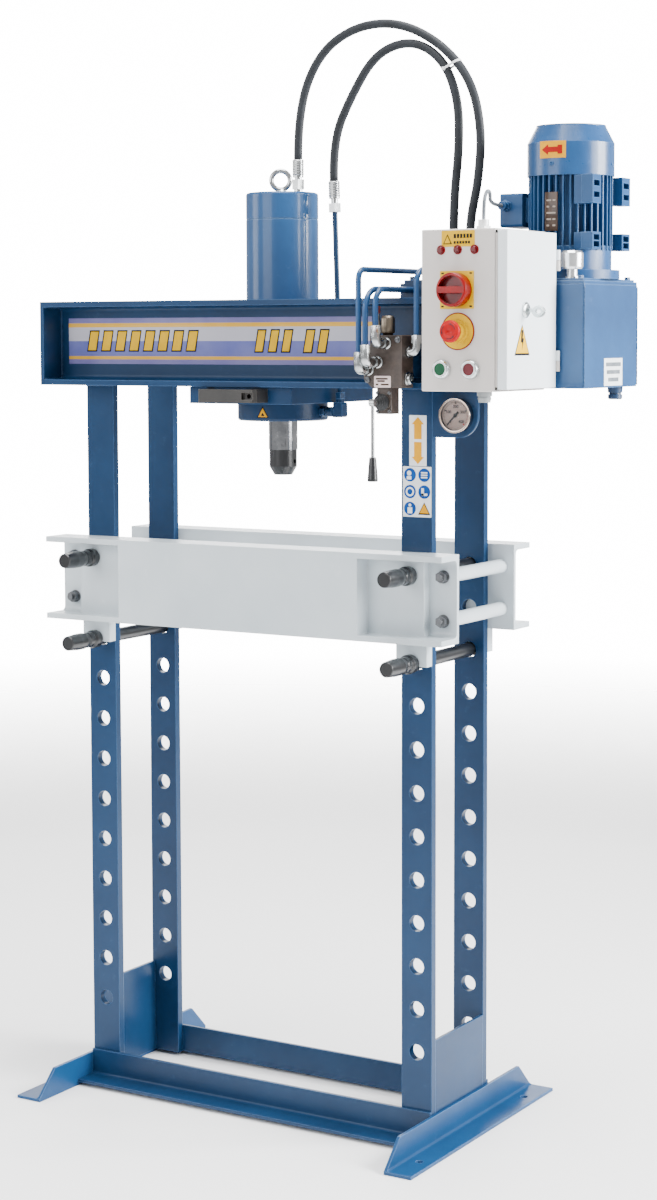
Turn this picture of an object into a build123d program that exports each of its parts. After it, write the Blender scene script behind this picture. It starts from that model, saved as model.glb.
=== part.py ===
from build123d import *
import os
from math import cos, dist, pi, radians, sin, tan

# Hydraulic shop press. Millimetres, +Z up, floor at Z = 0, working front towards -Y.
# The origin is the floor point under the ram axis, centred between the four anchor holes.

# Columns
leg_spacing_x = 704.0
leg_spacing_y = 202.0
leg_width = 63.0
leg_thickness = 15.0
leg_lift = 7.0
hole_first = 169.0
hole_pitch = 80.0
hole_count = 12
hole_diameter = 30.0

# Base
angle_leg = 55.0
angle_thickness = 6.0
foot_length = 570.0
foot_end_cut = 50.0
anchor_diameter = 14.0
anchor_spacing_y = 418.0
side_plate_height = 192.0
side_plate_thickness = 6.0

# Upper beam
beam_bottom = 1383.5
beam_height = 160.0
beam_length = leg_spacing_x + 172.0
beam_flange = 65.0
web_thickness = 7.5
flange_thickness = 10.5
end_plate = 8.0
rail_drop = 32.0
rail_size = 16.0

# Table
table_length = leg_spacing_x + 172.0
table_height = 160.0
table_pin_drop = 40.0
table_gap = 0.25
face_plate_length = leg_spacing_x - 174.0
face_plate_thickness = 6.0
pad_thickness = 20.0
pad_outer_x = leg_spacing_x / 2 + 30.0
saddle_drop = 45.0
tie_x = leg_spacing_x / 2 + 59.0
tie_rise = 39.0
tie_pitch = table_height - 80.0
tie_tube = 25.5
tie_stud = 12.0

# Support pins
pin_diameter = 26.0
pin_overhang = 22.0
pin_slack = 0.5

# Carriage and cylinder
carriage_length = 226.0
carriage_width = 300.0
carriage_thickness = 31.0
carriage_clearance = 1.0
barrel_outer = 137.0
barrel_bore = barrel_outer - 22.0
cap_bottom = 1695.0
cylinder_top = 1746.0
ring_diameter = 172.0
ring_height = 34.5
grip_left = -73.0
grip_right = 62.0
grip_reach = 40.0
grip_height = 24.0

# Ram
rod_diameter = 55.0
piston_height = 45.0
ram_extension = 40.0
ram_stroke = 200.0
stop_margin = 3.5
rod_reveal = 56.0
tip_diameter = 52.5
tip_height = 48.0
fit = 0.05
front_turn = radians(31.0)

# Hydraulic lines
hose_diameter = 16.0
pipe_diameter = 10.0
small_pipe = 6.0
cap_port_x = 36.0
riser_foot_x = 127.0
riser_head_x = 116.5
riser_head_z = 1707.0
bridge_left = 325.0
bridge_right = 442.0
bridge_width = 240.0
bridge_height = 32.0
hose_foot_far = 402.0
hose_foot_near = 368.0
line_height = 16.5

# Valve
valve_x = 350.0
valve_face_y = 220.0
valve_depth = 40.0
valve_bottom = 1386.0
valve_height = 92.0
spool_x = 345.0

# Gauge
gauge_x = leg_spacing_x / 2 + 84.0
gauge_z = 1336.0
gauge_diameter = 61.0
gauge_plate_radius = 40.0

# Control box
box_front_y = 260.0
box_width_y = 191.0
box_bottom = 1382.0
box_height = 274.5
box_depth = 139.0
door_gap = 5.0
door_thickness = 18.0
box_wall = 3.0

# Tank, motor and pump
tank_back_y = 166.0
tank_front_y = -60.0
tank_length = 211.0
tank_bottom = 1384.0
tank_top = 1566.0
lid_thickness = 10.0
motor_x = beam_length / 2 + 138.0
motor_y = 53.0
motor_body = 150.0
fin_count = 36
cover_diameter = 155.0
cover_top = 1848.0
bell_flange = 175.0
bell_diameter = 146.0
shaft_diameter = 19.0
gear_spacing = 30.0
cable_diameter = 6.5

# Derived positions
leg_x = leg_spacing_x / 2
leg_y = leg_spacing_y / 2
leg_outer_x = leg_x + leg_width / 2
leg_inner_x = leg_x - leg_width / 2
leg_front_y = leg_y + leg_thickness / 2
leg_inner_y = leg_y - leg_thickness / 2
beam_top = beam_bottom + beam_height
web_front_y = leg_front_y + web_thickness
flange_tip_y = leg_front_y + beam_flange
beam_end_x = beam_length / 2 + end_plate
upper_hole_z = hole_first + (hole_count - 1) * hole_pitch
pins_apart = int((table_pin_drop + table_height - pin_diameter - 4.0) / hole_pitch)
lower_hole_z = upper_hole_z - pins_apart * hole_pitch
table_bottom = lower_hole_z + table_pin_drop
table_top = table_bottom + table_height
table_web_y = leg_front_y + table_gap
table_face_y = table_web_y + web_thickness
table_tip_y = table_web_y + beam_flange
pad_front_y = table_face_y + pad_thickness
saddle_front_y = table_web_y + pad_thickness
carriage_top = beam_bottom - carriage_clearance
carriage_bottom = carriage_top - carriage_thickness
ring_bottom = carriage_bottom - ring_height
rail_top = beam_top - rail_drop
piston_top = cap_bottom - 5.0 - ram_extension
piston_bottom = piston_top - piston_height
guide_top = piston_bottom + ram_extension - ram_stroke - stop_margin
tip_top = ring_bottom - rod_reveal
tip_bottom = tip_top - tip_height
bridge_top = beam_top + bridge_height
elbow_z = bridge_top + line_height
valve_back_y = valve_face_y - valve_depth
valve_top = valve_bottom + valve_height
box_left = beam_end_x
box_right = box_left + box_depth
door_left = box_right + door_gap
door_right = door_left + door_thickness
box_back_y = box_front_y - box_width_y
box_mid_x = (box_left + box_right) / 2
tank_left = beam_end_x
tank_right = tank_left + tank_length
lid_top = tank_top + lid_thickness
body_top = lid_top + 186.0
body_bottom = lid_top + 50.0
inlet_x = motor_x - 106.0
inlet_y = motor_y - 63.0
inlet_z = body_bottom + 82.0


def block(x, y, z, mode=Mode.ADD):
    with Locations(((x[0] + x[1]) / 2, (y[0] + y[1]) / 2, (z[0] + z[1]) / 2)):
        Box(abs(x[1] - x[0]), abs(y[1] - y[0]), abs(z[1] - z[0]), mode=mode)


def along(start, end):
    return Plane(origin=start, z_dir=Vector(*end) - Vector(*start))


def rod(radius, start, end, mode=Mode.ADD):
    with Locations(along(start, end)):
        Cylinder(radius, dist(start, end), align=(Align.CENTER, Align.CENTER, Align.MIN), mode=mode)


def taper(radius, end_radius, start, end, mode=Mode.ADD):
    with Locations(along(start, end)):
        Cone(radius, end_radius, dist(start, end), align=(Align.CENTER, Align.CENTER, Align.MIN), mode=mode)


def hexagon(across_flats, start, end, mode=Mode.ADD):
    with BuildSketch(along(start, end)) as outline:
        RegularPolygon(across_flats / 2, 6, major_radius=False)
    extrude(outline.sketch, amount=dist(start, end), mode=mode)


def turned(start, direction, sections):
    # Stack of cylinders and cones along one axis, each given as radius, end radius, length.
    here = Vector(*start)
    step = Vector(*direction)
    for radius, end_radius, length in sections:
        there = here + step * length
        if radius == end_radius:
            rod(radius, tuple(here), tuple(there))
        else:
            taper(radius, end_radius, tuple(here), tuple(there))
        here = there


def bend_radii(points, ratio=0.45):
    radii = []
    for before, here, after in zip(points, points[1:], points[2:]):
        first = Vector(*here) - Vector(*before)
        second = Vector(*after) - Vector(*here)
        turn = radians(first.get_angle(second))
        radii.append(ratio * min(first.length, second.length) / tan(turn / 2))
    return radii


def tube(diameter, points, radii):
    with BuildLine() as route:
        FilletPolyline(*points, radius=radii, close=False)
    with BuildSketch(along(points[0], points[1])) as section:
        Circle(diameter / 2)
    sweep(section.sketch, path=route.wires()[0])


def finish(builder, name):
    builder.part.label = name
    export_step(builder.part, "parts/" + name + ".step")


def report(name, radii, volume, diameter):
    length = volume / (pi * diameter * diameter / 4)
    print(name, "bend radii", [round(radius, 1) for radius in radii], "length", round(length, 1))


def hole_heights():
    return [hole_first + number * hole_pitch for number in range(hole_count)]


def channel(length, bottom, height, web_y, side):
    # Rolled channel along X with its web at web_y and its flanges reaching outwards.
    tip_y = web_y + beam_flange
    face_y = web_y + web_thickness
    half = length / 2
    top = bottom + height
    block((-half, half), (side * web_y, side * face_y), (bottom, top))
    block((-half, half), (side * web_y, side * tip_y), (bottom, bottom + flange_thickness))
    block((-half, half), (side * web_y, side * tip_y), (top - flange_thickness, top))


def root_edges(builder, face_y, side, heights):
    return [
        edge
        for edge in builder.edges().filter_by(Axis.X)
        if abs(edge.center().Y - side * face_y) < 0.01
        and min(abs(edge.center().Z - height) for height in heights) < 0.01
    ]


def build_legs():
    with BuildPart() as legs:
        for side_x in (-1, 1):
            for side_y in (-1, 1):
                centre_x = side_x * leg_x
                span_y = (side_y * leg_inner_y, side_y * leg_front_y)
                block(
                    (centre_x - leg_width / 2, centre_x + leg_width / 2),
                    span_y,
                    (leg_lift, beam_top - 5.0),
                )
                for height in hole_heights():
                    rod(
                        hole_diameter / 2,
                        (centre_x, side_y * (leg_inner_y - 1), height),
                        (centre_x, side_y * (leg_front_y + 1), height),
                        Mode.SUBTRACT,
                    )
    finish(legs, "legs")


def build_feet():
    half = foot_length / 2
    low = angle_thickness
    with BuildPart() as feet:
        for side in (-1, 1):
            inner = side * leg_outer_x
            with BuildSketch(Plane.YZ.offset(inner)):
                Polygon(
                    (-half, 0),
                    (half, 0),
                    (half, low),
                    (half - foot_end_cut, angle_leg),
                    (-half + foot_end_cut, angle_leg),
                    (-half, low),
                    align=None,
                )
            extrude(amount=side * angle_thickness)
            block((inner, inner + side * angle_leg), (-half, half), (0, low))
            anchor_x = inner + side * (angle_thickness + angle_leg) / 2
            for anchor_y in (-anchor_spacing_y / 2, anchor_spacing_y / 2):
                spot = (anchor_x, anchor_y)
                rod(anchor_diameter / 2, (*spot, -1), (*spot, low + 1), Mode.SUBTRACT)
        fillet(
            [
                edge
                for edge in feet.edges().filter_by(Axis.Y)
                if abs(abs(edge.center().X) - leg_outer_x - angle_thickness) < 0.01
                and abs(edge.center().Z - low) < 0.01
            ],
            5.0,
        )
    finish(feet, "feet")
    print("anchor spacing", round(2 * anchor_x, 2), anchor_spacing_y)


def build_base_ties():
    top = leg_lift + angle_leg
    with BuildPart() as ties:
        for side in (-1, 1):
            near = side * leg_front_y
            far = side * (leg_front_y + angle_thickness)
            tip = side * (leg_front_y + angle_leg)
            block((-leg_outer_x, leg_outer_x), (near, far), (leg_lift, top))
            block((-leg_outer_x, leg_outer_x), (near, tip), (leg_lift, leg_lift + angle_thickness))
        for side in (-1, 1):
            outer = side * leg_outer_x
            inner = side * (leg_outer_x - side_plate_thickness)
            block((inner, outer), (-leg_inner_y, leg_inner_y), (leg_lift, side_plate_height))
        fillet(
            [
                edge
                for edge in ties.edges().filter_by(Axis.X)
                if abs(abs(edge.center().Y) - leg_front_y - angle_thickness) < 0.01
                and abs(edge.center().Z - leg_lift - angle_thickness) < 0.01
            ],
            5.0,
        )
    finish(ties, "base_ties")


def beam_half(builder, side):
    channel(beam_length, beam_bottom, beam_height, leg_front_y, side)
    heights = (beam_bottom + flange_thickness, beam_top - flange_thickness)
    fillet(root_edges(builder, web_front_y, side, heights), 9.0)
    for end in (-1, 1):
        block(
            (end * beam_length / 2, end * beam_end_x),
            (side * leg_front_y, side * flange_tip_y),
            (beam_bottom, beam_top),
        )
    block(
        (-leg_inner_x + 2, leg_inner_x - 2),
        (side * leg_front_y, side * (leg_front_y - rail_size)),
        (rail_top - rail_size, rail_top),
    )


def build_beams():
    with BuildPart() as beam_front:
        beam_half(beam_front, -1)
        for wall_x in (valve_x - 26.0, valve_x + 26.0):
            block(
                (wall_x - 3.0, wall_x + 3.0),
                (-web_front_y, -valve_back_y),
                (valve_bottom + 16.0, valve_top - 16.0),
            )
    finish(beam_front, "beam_front")
    with BuildPart() as beam_back:
        beam_half(beam_back, 1)
    finish(beam_back, "beam_back")


def build_frame_brackets():
    back_y = -leg_front_y + 5.0
    with BuildPart() as brackets:
        block(
            (bridge_left, bridge_right),
            (-bridge_width / 2, bridge_width / 2),
            (beam_top, bridge_top),
        )
        for end in (-1, 1):
            block(
                (bridge_left, bridge_left + 9.0),
                (end * bridge_width / 2, end * (bridge_width / 2 - 14.0)),
                (bridge_top - 6.0, bridge_top),
                Mode.SUBTRACT,
            )
            bolt = (bridge_left + 22.0, end * (bridge_width / 2 - 8.0))
            hexagon(13.0, (*bolt, bridge_top), (*bolt, bridge_top + 6.0))
        block(
            (leg_outer_x, gauge_x + gauge_plate_radius),
            (-leg_front_y, back_y),
            (gauge_z, box_bottom - 0.5),
        )
        block(
            (leg_outer_x, gauge_x),
            (-leg_front_y, back_y),
            (gauge_z - gauge_plate_radius, gauge_z),
        )
        rod(gauge_plate_radius, (gauge_x, -leg_front_y, gauge_z), (gauge_x, back_y, gauge_z))
        rod(
            gauge_diameter / 2 - 2.5,
            (gauge_x, -leg_front_y - 1, gauge_z),
            (gauge_x, back_y + 1, gauge_z),
            Mode.SUBTRACT,
        )
    finish(brackets, "frame_brackets")


def tie_spots():
    low = table_bottom + tie_rise
    return [(side * tie_x, low + row * tie_pitch) for side in (-1, 1) for row in (0, 1)]


def table_half(builder, side):
    channel(table_length, table_bottom, table_height, table_web_y, side)
    heights = (table_bottom + flange_thickness, table_top - flange_thickness)
    fillet(root_edges(builder, table_face_y, side, heights), 9.0)
    inner_low = table_bottom + flange_thickness
    inner_high = table_top - flange_thickness
    half = face_plate_length / 2
    block(
        (-half, half),
        (side * table_tip_y, side * (table_tip_y - face_plate_thickness)),
        (inner_low, inner_high),
    )
    for end in (-1, 1):
        block(
            (end * (half - 10.0), end * half),
            (side * table_face_y, side * (table_tip_y - face_plate_thickness)),
            (inner_low, inner_high),
        )
        block(
            (end * half, end * pad_outer_x),
            (side * table_face_y, side * pad_front_y),
            (inner_low, inner_high),
        )
        block(
            (end * leg_inner_x, end * leg_outer_x),
            (side * table_web_y, side * saddle_front_y),
            (table_bottom - saddle_drop, table_bottom),
        )
        rod(
            pin_diameter / 2 + 1.5,
            (end * leg_x, side * (table_web_y - 1), upper_hole_z),
            (end * leg_x, side * (pad_front_y + 1), upper_hole_z),
            Mode.SUBTRACT,
        )
        seat = pin_diameter / 2 + pin_slack
        rod(
            seat,
            (end * leg_x, side * (table_web_y - 1), lower_hole_z),
            (end * leg_x, side * (saddle_front_y + 1), lower_hole_z),
            Mode.SUBTRACT,
        )
        block(
            (end * leg_x - seat, end * leg_x + seat),
            (side * (table_web_y - 1), side * (saddle_front_y + 1)),
            (table_bottom - saddle_drop - 1, lower_hole_z),
            Mode.SUBTRACT,
        )
    for spot_x, spot_z in tie_spots():
        rod(
            tie_stud / 2 + 0.5,
            (spot_x, side * (table_web_y - 1), spot_z),
            (spot_x, side * (table_face_y + 1), spot_z),
            Mode.SUBTRACT,
        )


def build_table():
    with BuildPart() as table_front:
        table_half(table_front, -1)
    finish(table_front, "table_front")
    with BuildPart() as table_back:
        table_half(table_back, 1)
    finish(table_back, "table_back")


def build_tie_rods():
    with BuildPart() as tubes:
        for spot_x, spot_z in tie_spots():
            rod(tie_tube / 2, (spot_x, -table_web_y, spot_z), (spot_x, table_web_y, spot_z))
            rod(
                tie_stud / 2 + 0.5,
                (spot_x, -table_web_y - 1, spot_z),
                (spot_x, table_web_y + 1, spot_z),
                Mode.SUBTRACT,
            )
    finish(tubes, "tie_tubes")
    with BuildPart() as bolts:
        for spot_x, spot_z in tie_spots():
            reach = table_face_y + 19.0
            rod(tie_stud / 2, (spot_x, -reach, spot_z), (spot_x, reach, spot_z))
            for side in (-1, 1):
                face = side * table_face_y
                rod(12.0, (spot_x, face, spot_z), (spot_x, face + side * 2.5, spot_z))
                hexagon(19.0, (spot_x, face + side * 2.5, spot_z), (spot_x, face + side * 13.0, spot_z))
    finish(bolts, "tie_bolts")


def build_pin(name, centre_x, height, seat_y):
    handle = [
        (16.0, 17.5, 3.0),
        (17.5, 17.5, 13.0),
        (17.5, 14.5, 4.0),
        (14.5, 15.0, 3.0),
        (15.0, 15.0, 9.0),
        (15.0, 14.0, 3.0),
        (14.0, 16.0, 12.0),
        (16.0, 16.0, 18.0),
        (16.0, 14.0, 26.0),
        (14.0, 13.0, 1.5),
    ]
    with BuildPart() as pin:
        turned((centre_x, -seat_y, height), (0, -1, 0), handle)
        rod(
            pin_diameter / 2,
            (centre_x, -seat_y, height),
            (centre_x, table_face_y + pin_overhang, height),
        )
        taper(
            pin_diameter / 2,
            pin_diameter / 2 - 3,
            (centre_x, table_face_y + pin_overhang, height),
            (centre_x, table_face_y + pin_overhang + 4, height),
        )
    finish(pin, name)


def build_pins():
    build_pin("pin_upper_left", -leg_x, upper_hole_z, pad_front_y)
    build_pin("pin_upper_right", leg_x, upper_hole_z, pad_front_y)
    build_pin("pin_lower_left", -leg_x, lower_hole_z, saddle_front_y)
    build_pin("pin_lower_right", leg_x, lower_hole_z, saddle_front_y)


def build_carriage():
    half_x = carriage_length / 2
    half_y = carriage_width / 2
    with BuildPart() as plate:
        block((-half_x, half_x), (-half_y, half_y), (carriage_bottom, carriage_top))
        fillet(plate.edges().filter_by(Axis.Z), 3.0)
        rod(barrel_outer / 2 + fit, (0, 0, carriage_bottom - 1), (0, 0, carriage_top + 1), Mode.SUBTRACT)
    finish(plate, "carriage_plate")


def build_carriage_handle():
    back_y = -carriage_width / 2
    front_y = back_y - grip_reach
    grip_mid = (carriage_bottom + carriage_top) / 2
    low = grip_mid - grip_height / 2
    high = grip_mid + grip_height / 2
    with BuildPart() as grip:
        with BuildSketch(Plane.XY.offset(low)):
            Polygon(
                (grip_left, back_y),
                (grip_left + 3, front_y + 7),
                (grip_left + 9, front_y),
                (grip_right - 9, front_y),
                (grip_right - 3, front_y + 7),
                (grip_right, back_y),
                align=None,
            )
        extrude(amount=high - low)
        with BuildSketch(Plane.XY.offset(low - 1)):
            Polygon(
                (grip_left + 16, back_y + 1),
                (grip_left + 20, front_y + 12),
                (grip_right - 38, front_y + 12),
                (grip_right - 34, back_y + 1),
                align=None,
            )
        extrude(amount=high - low + 2, mode=Mode.SUBTRACT)
        block(
            (grip_right - 32.0, grip_right - 8.0),
            (front_y - 1, front_y + 7.0),
            (grip_mid - 6.5, grip_mid + 6.5),
            Mode.SUBTRACT,
        )
        bolt_x = grip_right - 20.0
        rod(4.5, (bolt_x, front_y, grip_mid), (bolt_x, back_y - 8.0, grip_mid), Mode.SUBTRACT)
    finish(grip, "carriage_handle")


def build_cylinder():
    hanger_low = rail_top + 0.5
    hanger_high = hanger_low + 12.0
    reach = leg_front_y - 4.0
    with BuildPart() as barrel:
        rod(barrel_outer / 2, (0, 0, carriage_bottom), (0, 0, cap_bottom))
        block((-95.0, 95.0), (-reach, reach), (hanger_low, hanger_high))
        rod(barrel_bore / 2, (0, 0, carriage_bottom - 1), (0, 0, cap_bottom + 1), Mode.SUBTRACT)
    finish(barrel, "cylinder_barrel")


def build_cylinder_ends():
    with BuildPart() as cap:
        rod(barrel_outer / 2 - 1.0, (0, 0, cap_bottom), (0, 0, cap_bottom + 2.0))
        rod(barrel_outer / 2, (0, 0, cap_bottom + 2.0), (0, 0, cylinder_top))
        fillet(cap.edges().filter_by(GeomType.CIRCLE).sort_by(Axis.Z)[-1], 5.0)
        rod(barrel_bore / 2 - fit, (0, 0, cap_bottom - 4.0), (0, 0, cap_bottom))
        rod(6.0, (cap_port_x, 0, cap_bottom - 5.0), (cap_port_x, 0, cylinder_top + 1), Mode.SUBTRACT)
        rod(8.05, (0, 0, cylinder_top - 25.0), (0, 0, cylinder_top + 1), Mode.SUBTRACT)
    finish(cap, "cylinder_cap")

    with BuildPart() as ring:
        rod(ring_diameter / 2, (0, 0, ring_bottom), (0, 0, carriage_bottom))
        fillet(ring.edges().filter_by(GeomType.CIRCLE).sort_by(Axis.Z)[0], 5.0)
        rod(barrel_bore / 2 - fit, (0, 0, carriage_bottom), (0, 0, guide_top))
        rod(rod_diameter / 2 + fit, (0, 0, ring_bottom - 1), (0, 0, cap_bottom), Mode.SUBTRACT)
        rod(
            6.0,
            (ring_diameter / 2 - 30.0, 0, ring_bottom + ring_height / 2),
            (ring_diameter / 2 + 1, 0, ring_bottom + ring_height / 2),
            Mode.SUBTRACT,
        )
    finish(ring, "gland_ring")

    with BuildPart() as eye:
        rod(8.0, (0, 0, cylinder_top - 20.0), (0, 0, cylinder_top))
        turned((0, 0, cylinder_top), (0, 0, 1), [(14.0, 13.0, 3.0), (9.0, 6.0, 4.0)])
        facing = (sin(front_turn), -cos(front_turn), 0)
        with Locations(Plane(origin=(-3.0, 0, cylinder_top + 24.0), z_dir=facing)):
            Torus(17.5, 4.5)
    finish(eye, "eye_bolt")


def riser_axis(height):
    # Point on the slightly leaning riser line at one height.
    foot_z = ring_bottom + 60.0
    share = (height - foot_z) / (riser_head_z - foot_z)
    return (riser_foot_x + share * (riser_head_x - riser_foot_x), 0, height)


def riser_step(height, length):
    start = Vector(*riser_axis(height))
    direction = (Vector(*riser_axis(riser_head_z)) - Vector(*riser_axis(ring_bottom + 60.0))).normalized()
    return tuple(start), tuple(start + direction * length)


def build_riser():
    mid_z = ring_bottom + ring_height / 2
    nut_low = ring_bottom + 44.0
    with BuildPart() as riser:
        rod(6.0 - fit, (ring_diameter / 2 - 28.0, 0, mid_z), (riser_foot_x - 8.0, 0, mid_z))
        hexagon(19.0, (ring_diameter / 2 + 0.3, 0, mid_z), (ring_diameter / 2 + 10.0, 0, mid_z))
        rod(9.5, (ring_diameter / 2 + 14.0, 0, mid_z), (ring_diameter / 2 + 27.0, 0, mid_z))
        block((riser_foot_x - 10.0, riser_foot_x + 10.0), (-10.0, 10.0), (mid_z - 10.0, mid_z + 18.0))
        fillet(riser.edges().filter_by(Axis.Y).sort_by(Axis.X)[-2:], 4.0)
        rod(8.0, (riser_foot_x, 0, mid_z + 18.0), (riser_foot_x, 0, nut_low))
        start, end = riser_step(nut_low - 2.0, 12.0)
        hexagon(17.0, start, end)
        start, end = riser_step(nut_low + 4.0, riser_head_z - nut_low - 4.0)
        rod(pipe_diameter / 2, start, end)
    finish(riser, "riser_pipe")


def hose_end(start, end, nut, neck):
    # Hexagon union nut, neck and crimped ferrule with hose fully seated at the far end.
    step = (Vector(*end) - Vector(*start)).normalized()
    nut_end = Vector(*start) + step * nut
    neck_end = nut_end + step * neck
    hexagon(22.0, start, tuple(nut_end))
    rod(6.5, tuple(nut_end), tuple(neck_end))
    rod(hose_diameter / 2 + 2.0, tuple(neck_end), end)


def build_fittings_moving():
    with BuildPart() as fittings:
        rod(5.95, (cap_port_x, 0, cylinder_top - 12.0), (cap_port_x, 0, cylinder_top))
        rod(8.0, (cap_port_x, 0, cylinder_top), (cap_port_x, 0, cylinder_top + 6.0))
        hose_end((cap_port_x, 0, cylinder_top + 6.0), (cap_port_x, 0, cylinder_top + 61.0), 18.0, 4.0)
        start, end = riser_step(riser_head_z, 57.0)
        hose_end(start, end, 16.0, 9.0)
    finish(fittings, "cylinder_fittings")


def build_ram():
    with BuildPart() as piston:
        rod(barrel_bore / 2 - fit, (0, 0, piston_bottom), (0, 0, piston_top))
        for groove_z in (piston_bottom + 10.0, piston_top - 16.0):
            with Locations((0, 0, groove_z)):
                Cylinder(
                    barrel_bore / 2 + 1,
                    6.0,
                    align=(Align.CENTER, Align.CENTER, Align.MIN),
                    mode=Mode.SUBTRACT,
                )
            rod(barrel_bore / 2 - 5.0, (0, 0, groove_z), (0, 0, groove_z + 6.0))
        rod(15.0 + fit, (0, 0, piston_bottom - 1), (0, 0, piston_top + 1), Mode.SUBTRACT)
    finish(piston, "piston")

    reach = rod_diameter
    with BuildPart() as shaft:
        rod(rod_diameter / 2, (0, 0, tip_top), (0, 0, piston_bottom))
        rod(15.0, (0, 0, piston_bottom), (0, 0, piston_top))
        rod(15.0, (0, 0, tip_top - 25.0), (0, 0, tip_top))
        rod(rod_diameter / 2 + 1, (0, 0, tip_top + 27.0), (0, 0, tip_top + 28.5), Mode.SUBTRACT)
        rod(rod_diameter / 2 - 1, (0, 0, tip_top + 27.0), (0, 0, tip_top + 28.5))
        rod(
            3.5,
            (0, 0, tip_top + 10.0),
            (reach * sin(front_turn), -reach * cos(front_turn), tip_top + 10.0),
            Mode.SUBTRACT,
        )
    finish(shaft, "piston_rod")

    with BuildPart() as tip:
        taper(tip_diameter / 2 - 9.0, tip_diameter / 2, (0, 0, tip_bottom), (0, 0, tip_bottom + 16.0))
        rod(tip_diameter / 2, (0, 0, tip_bottom + 16.0), (0, 0, tip_top))
        rod(15.0 + fit, (0, 0, tip_top - 25.5), (0, 0, tip_top + 1), Mode.SUBTRACT)
        rod(4.0, (15.0, 0, tip_top - 22.0), (tip_diameter, 0, tip_top - 22.0), Mode.SUBTRACT)
    finish(tip, "ram_tip")


def build_hoses():
    start_z = cylinder_top + 61.0
    end_z = elbow_z + 66.0
    cap_route = [
        (cap_port_x, 0, start_z),
        (cap_port_x, 0, start_z + 92.0),
        (81.0, 0, 2000.0),
        (160.0, 0, 2046.0),
        (253.0, 0, 2048.0),
        (340.0, 0, 2005.0),
        (403.0, 0, 1936.0),
        (425.0, 0, 1845.0),
        (418.0, 0, 1752.0),
        (hose_foot_far, 0, end_z + 30.0),
        (hose_foot_far, 0, end_z),
    ]
    with BuildPart() as upper:
        tube(hose_diameter, cap_route, bend_radii(cap_route))
    finish(upper, "hose_cap")
    report("hose_cap", bend_radii(cap_route), upper.part.volume, hose_diameter)

    riser_route = [
        riser_step(riser_head_z, 57.0)[1],
        riser_step(riser_head_z, 132.0)[1],
        (154.0, 0, 1922.0),
        (206.0, 0, 1995.0),
        (282.0, 0, 2014.0),
        (346.0, 0, 1976.0),
        (377.0, 0, 1903.0),
        (379.0, 0, 1815.0),
        (hose_foot_near, 0, end_z + 62.0),
        (hose_foot_near, 0, end_z),
    ]
    with BuildPart() as lower:
        tube(hose_diameter, riser_route, bend_radii(riser_route))
    finish(lower, "hose_riser")
    report("hose_riser", bend_radii(riser_route), lower.part.volume, hose_diameter)


def face_elbow(centre_x, port_z, riser_y):
    # Male stud in the valve face, square elbow body and union nut for a rising pipe.
    rod(9.0, (centre_x, -valve_face_y, port_z), (centre_x, -valve_face_y - 8.0, port_z))
    hexagon(17.0, (centre_x, -valve_face_y - 8.0, port_z), (centre_x, -valve_face_y - 15.0, port_z))
    rod(7.0, (centre_x, -valve_face_y - 15.0, port_z), (centre_x, -riser_y, port_z))
    block(
        (centre_x - 8.0, centre_x + 8.0),
        (-riser_y - 8.0, -riser_y + 8.0),
        (port_z - 9.0, port_z + 16.0),
    )
    hexagon(17.0, (centre_x, -riser_y, port_z + 16.0), (centre_x, -riser_y, port_z + 31.0))


port_one = (353.0, 1464.0, 258.0)
port_two = (336.0, 1431.0, 264.0)
port_three = (318.0, 1418.0, 256.0)
side_port_z = 1449.0
side_riser_x = 402.0
valve_mid_y = valve_face_y - 20.0


def build_fixed_fittings():
    with BuildPart() as fittings:
        for centre_x, port_z, riser_y in (port_one, port_two, port_three):
            face_elbow(centre_x, port_z, riser_y)
        right = valve_x + 34.0
        rod(9.0, (right, -valve_mid_y, side_port_z), (side_riser_x - 8.0, -valve_mid_y, side_port_z))
        block(
            (side_riser_x - 9.0, side_riser_x + 9.0),
            (-valve_mid_y - 9.0, -valve_mid_y + 9.0),
            (side_port_z - 9.0, side_port_z + 14.0),
        )
        hexagon(
            18.0,
            (side_riser_x, -valve_mid_y, side_port_z + 14.0),
            (side_riser_x, -valve_mid_y, side_port_z + 29.0),
        )
        plug_z = valve_bottom + 16.0
        rod(12.0, (right, -valve_mid_y, plug_z), (right + 2.5, -valve_mid_y, plug_z))
        hexagon(19.0, (right + 2.5, -valve_mid_y, plug_z), (right + 9.0, -valve_mid_y, plug_z))
        turned(
            (spool_x, -valve_mid_y, valve_top),
            (0, 0, 1),
            [(9.0, 9.0, 3.0), (12.0, 12.0, 27.0), (12.0, 10.0, 4.0)],
        )
        turned(
            (spool_x - 21.0, -valve_mid_y, valve_top),
            (0, 0, 1),
            [(6.0, 6.0, 26.0), (3.5, 3.5, 18.0), (5.0, 5.0, 7.0)],
        )
        for foot_x in (hose_foot_near, hose_foot_far):
            rod(7.0, (foot_x, 0, bridge_top), (foot_x, 0, elbow_z - 11.0))
            block((foot_x - 11.0, foot_x + 11.0), (-11.0, 11.0), (elbow_z - 11.0, elbow_z + 11.0))
            hose_end((foot_x, 0, elbow_z + 11.0), (foot_x, 0, elbow_z + 66.0), 15.0, 4.0)
        hexagon(17.0, (hose_foot_near - 11.0, 0, elbow_z), (hose_foot_near - 26.0, 0, elbow_z))
        hexagon(17.0, (hose_foot_far, -11.0, elbow_z), (hose_foot_far, -27.0, elbow_z))
    finish(fittings, "fixed_fittings")


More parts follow.
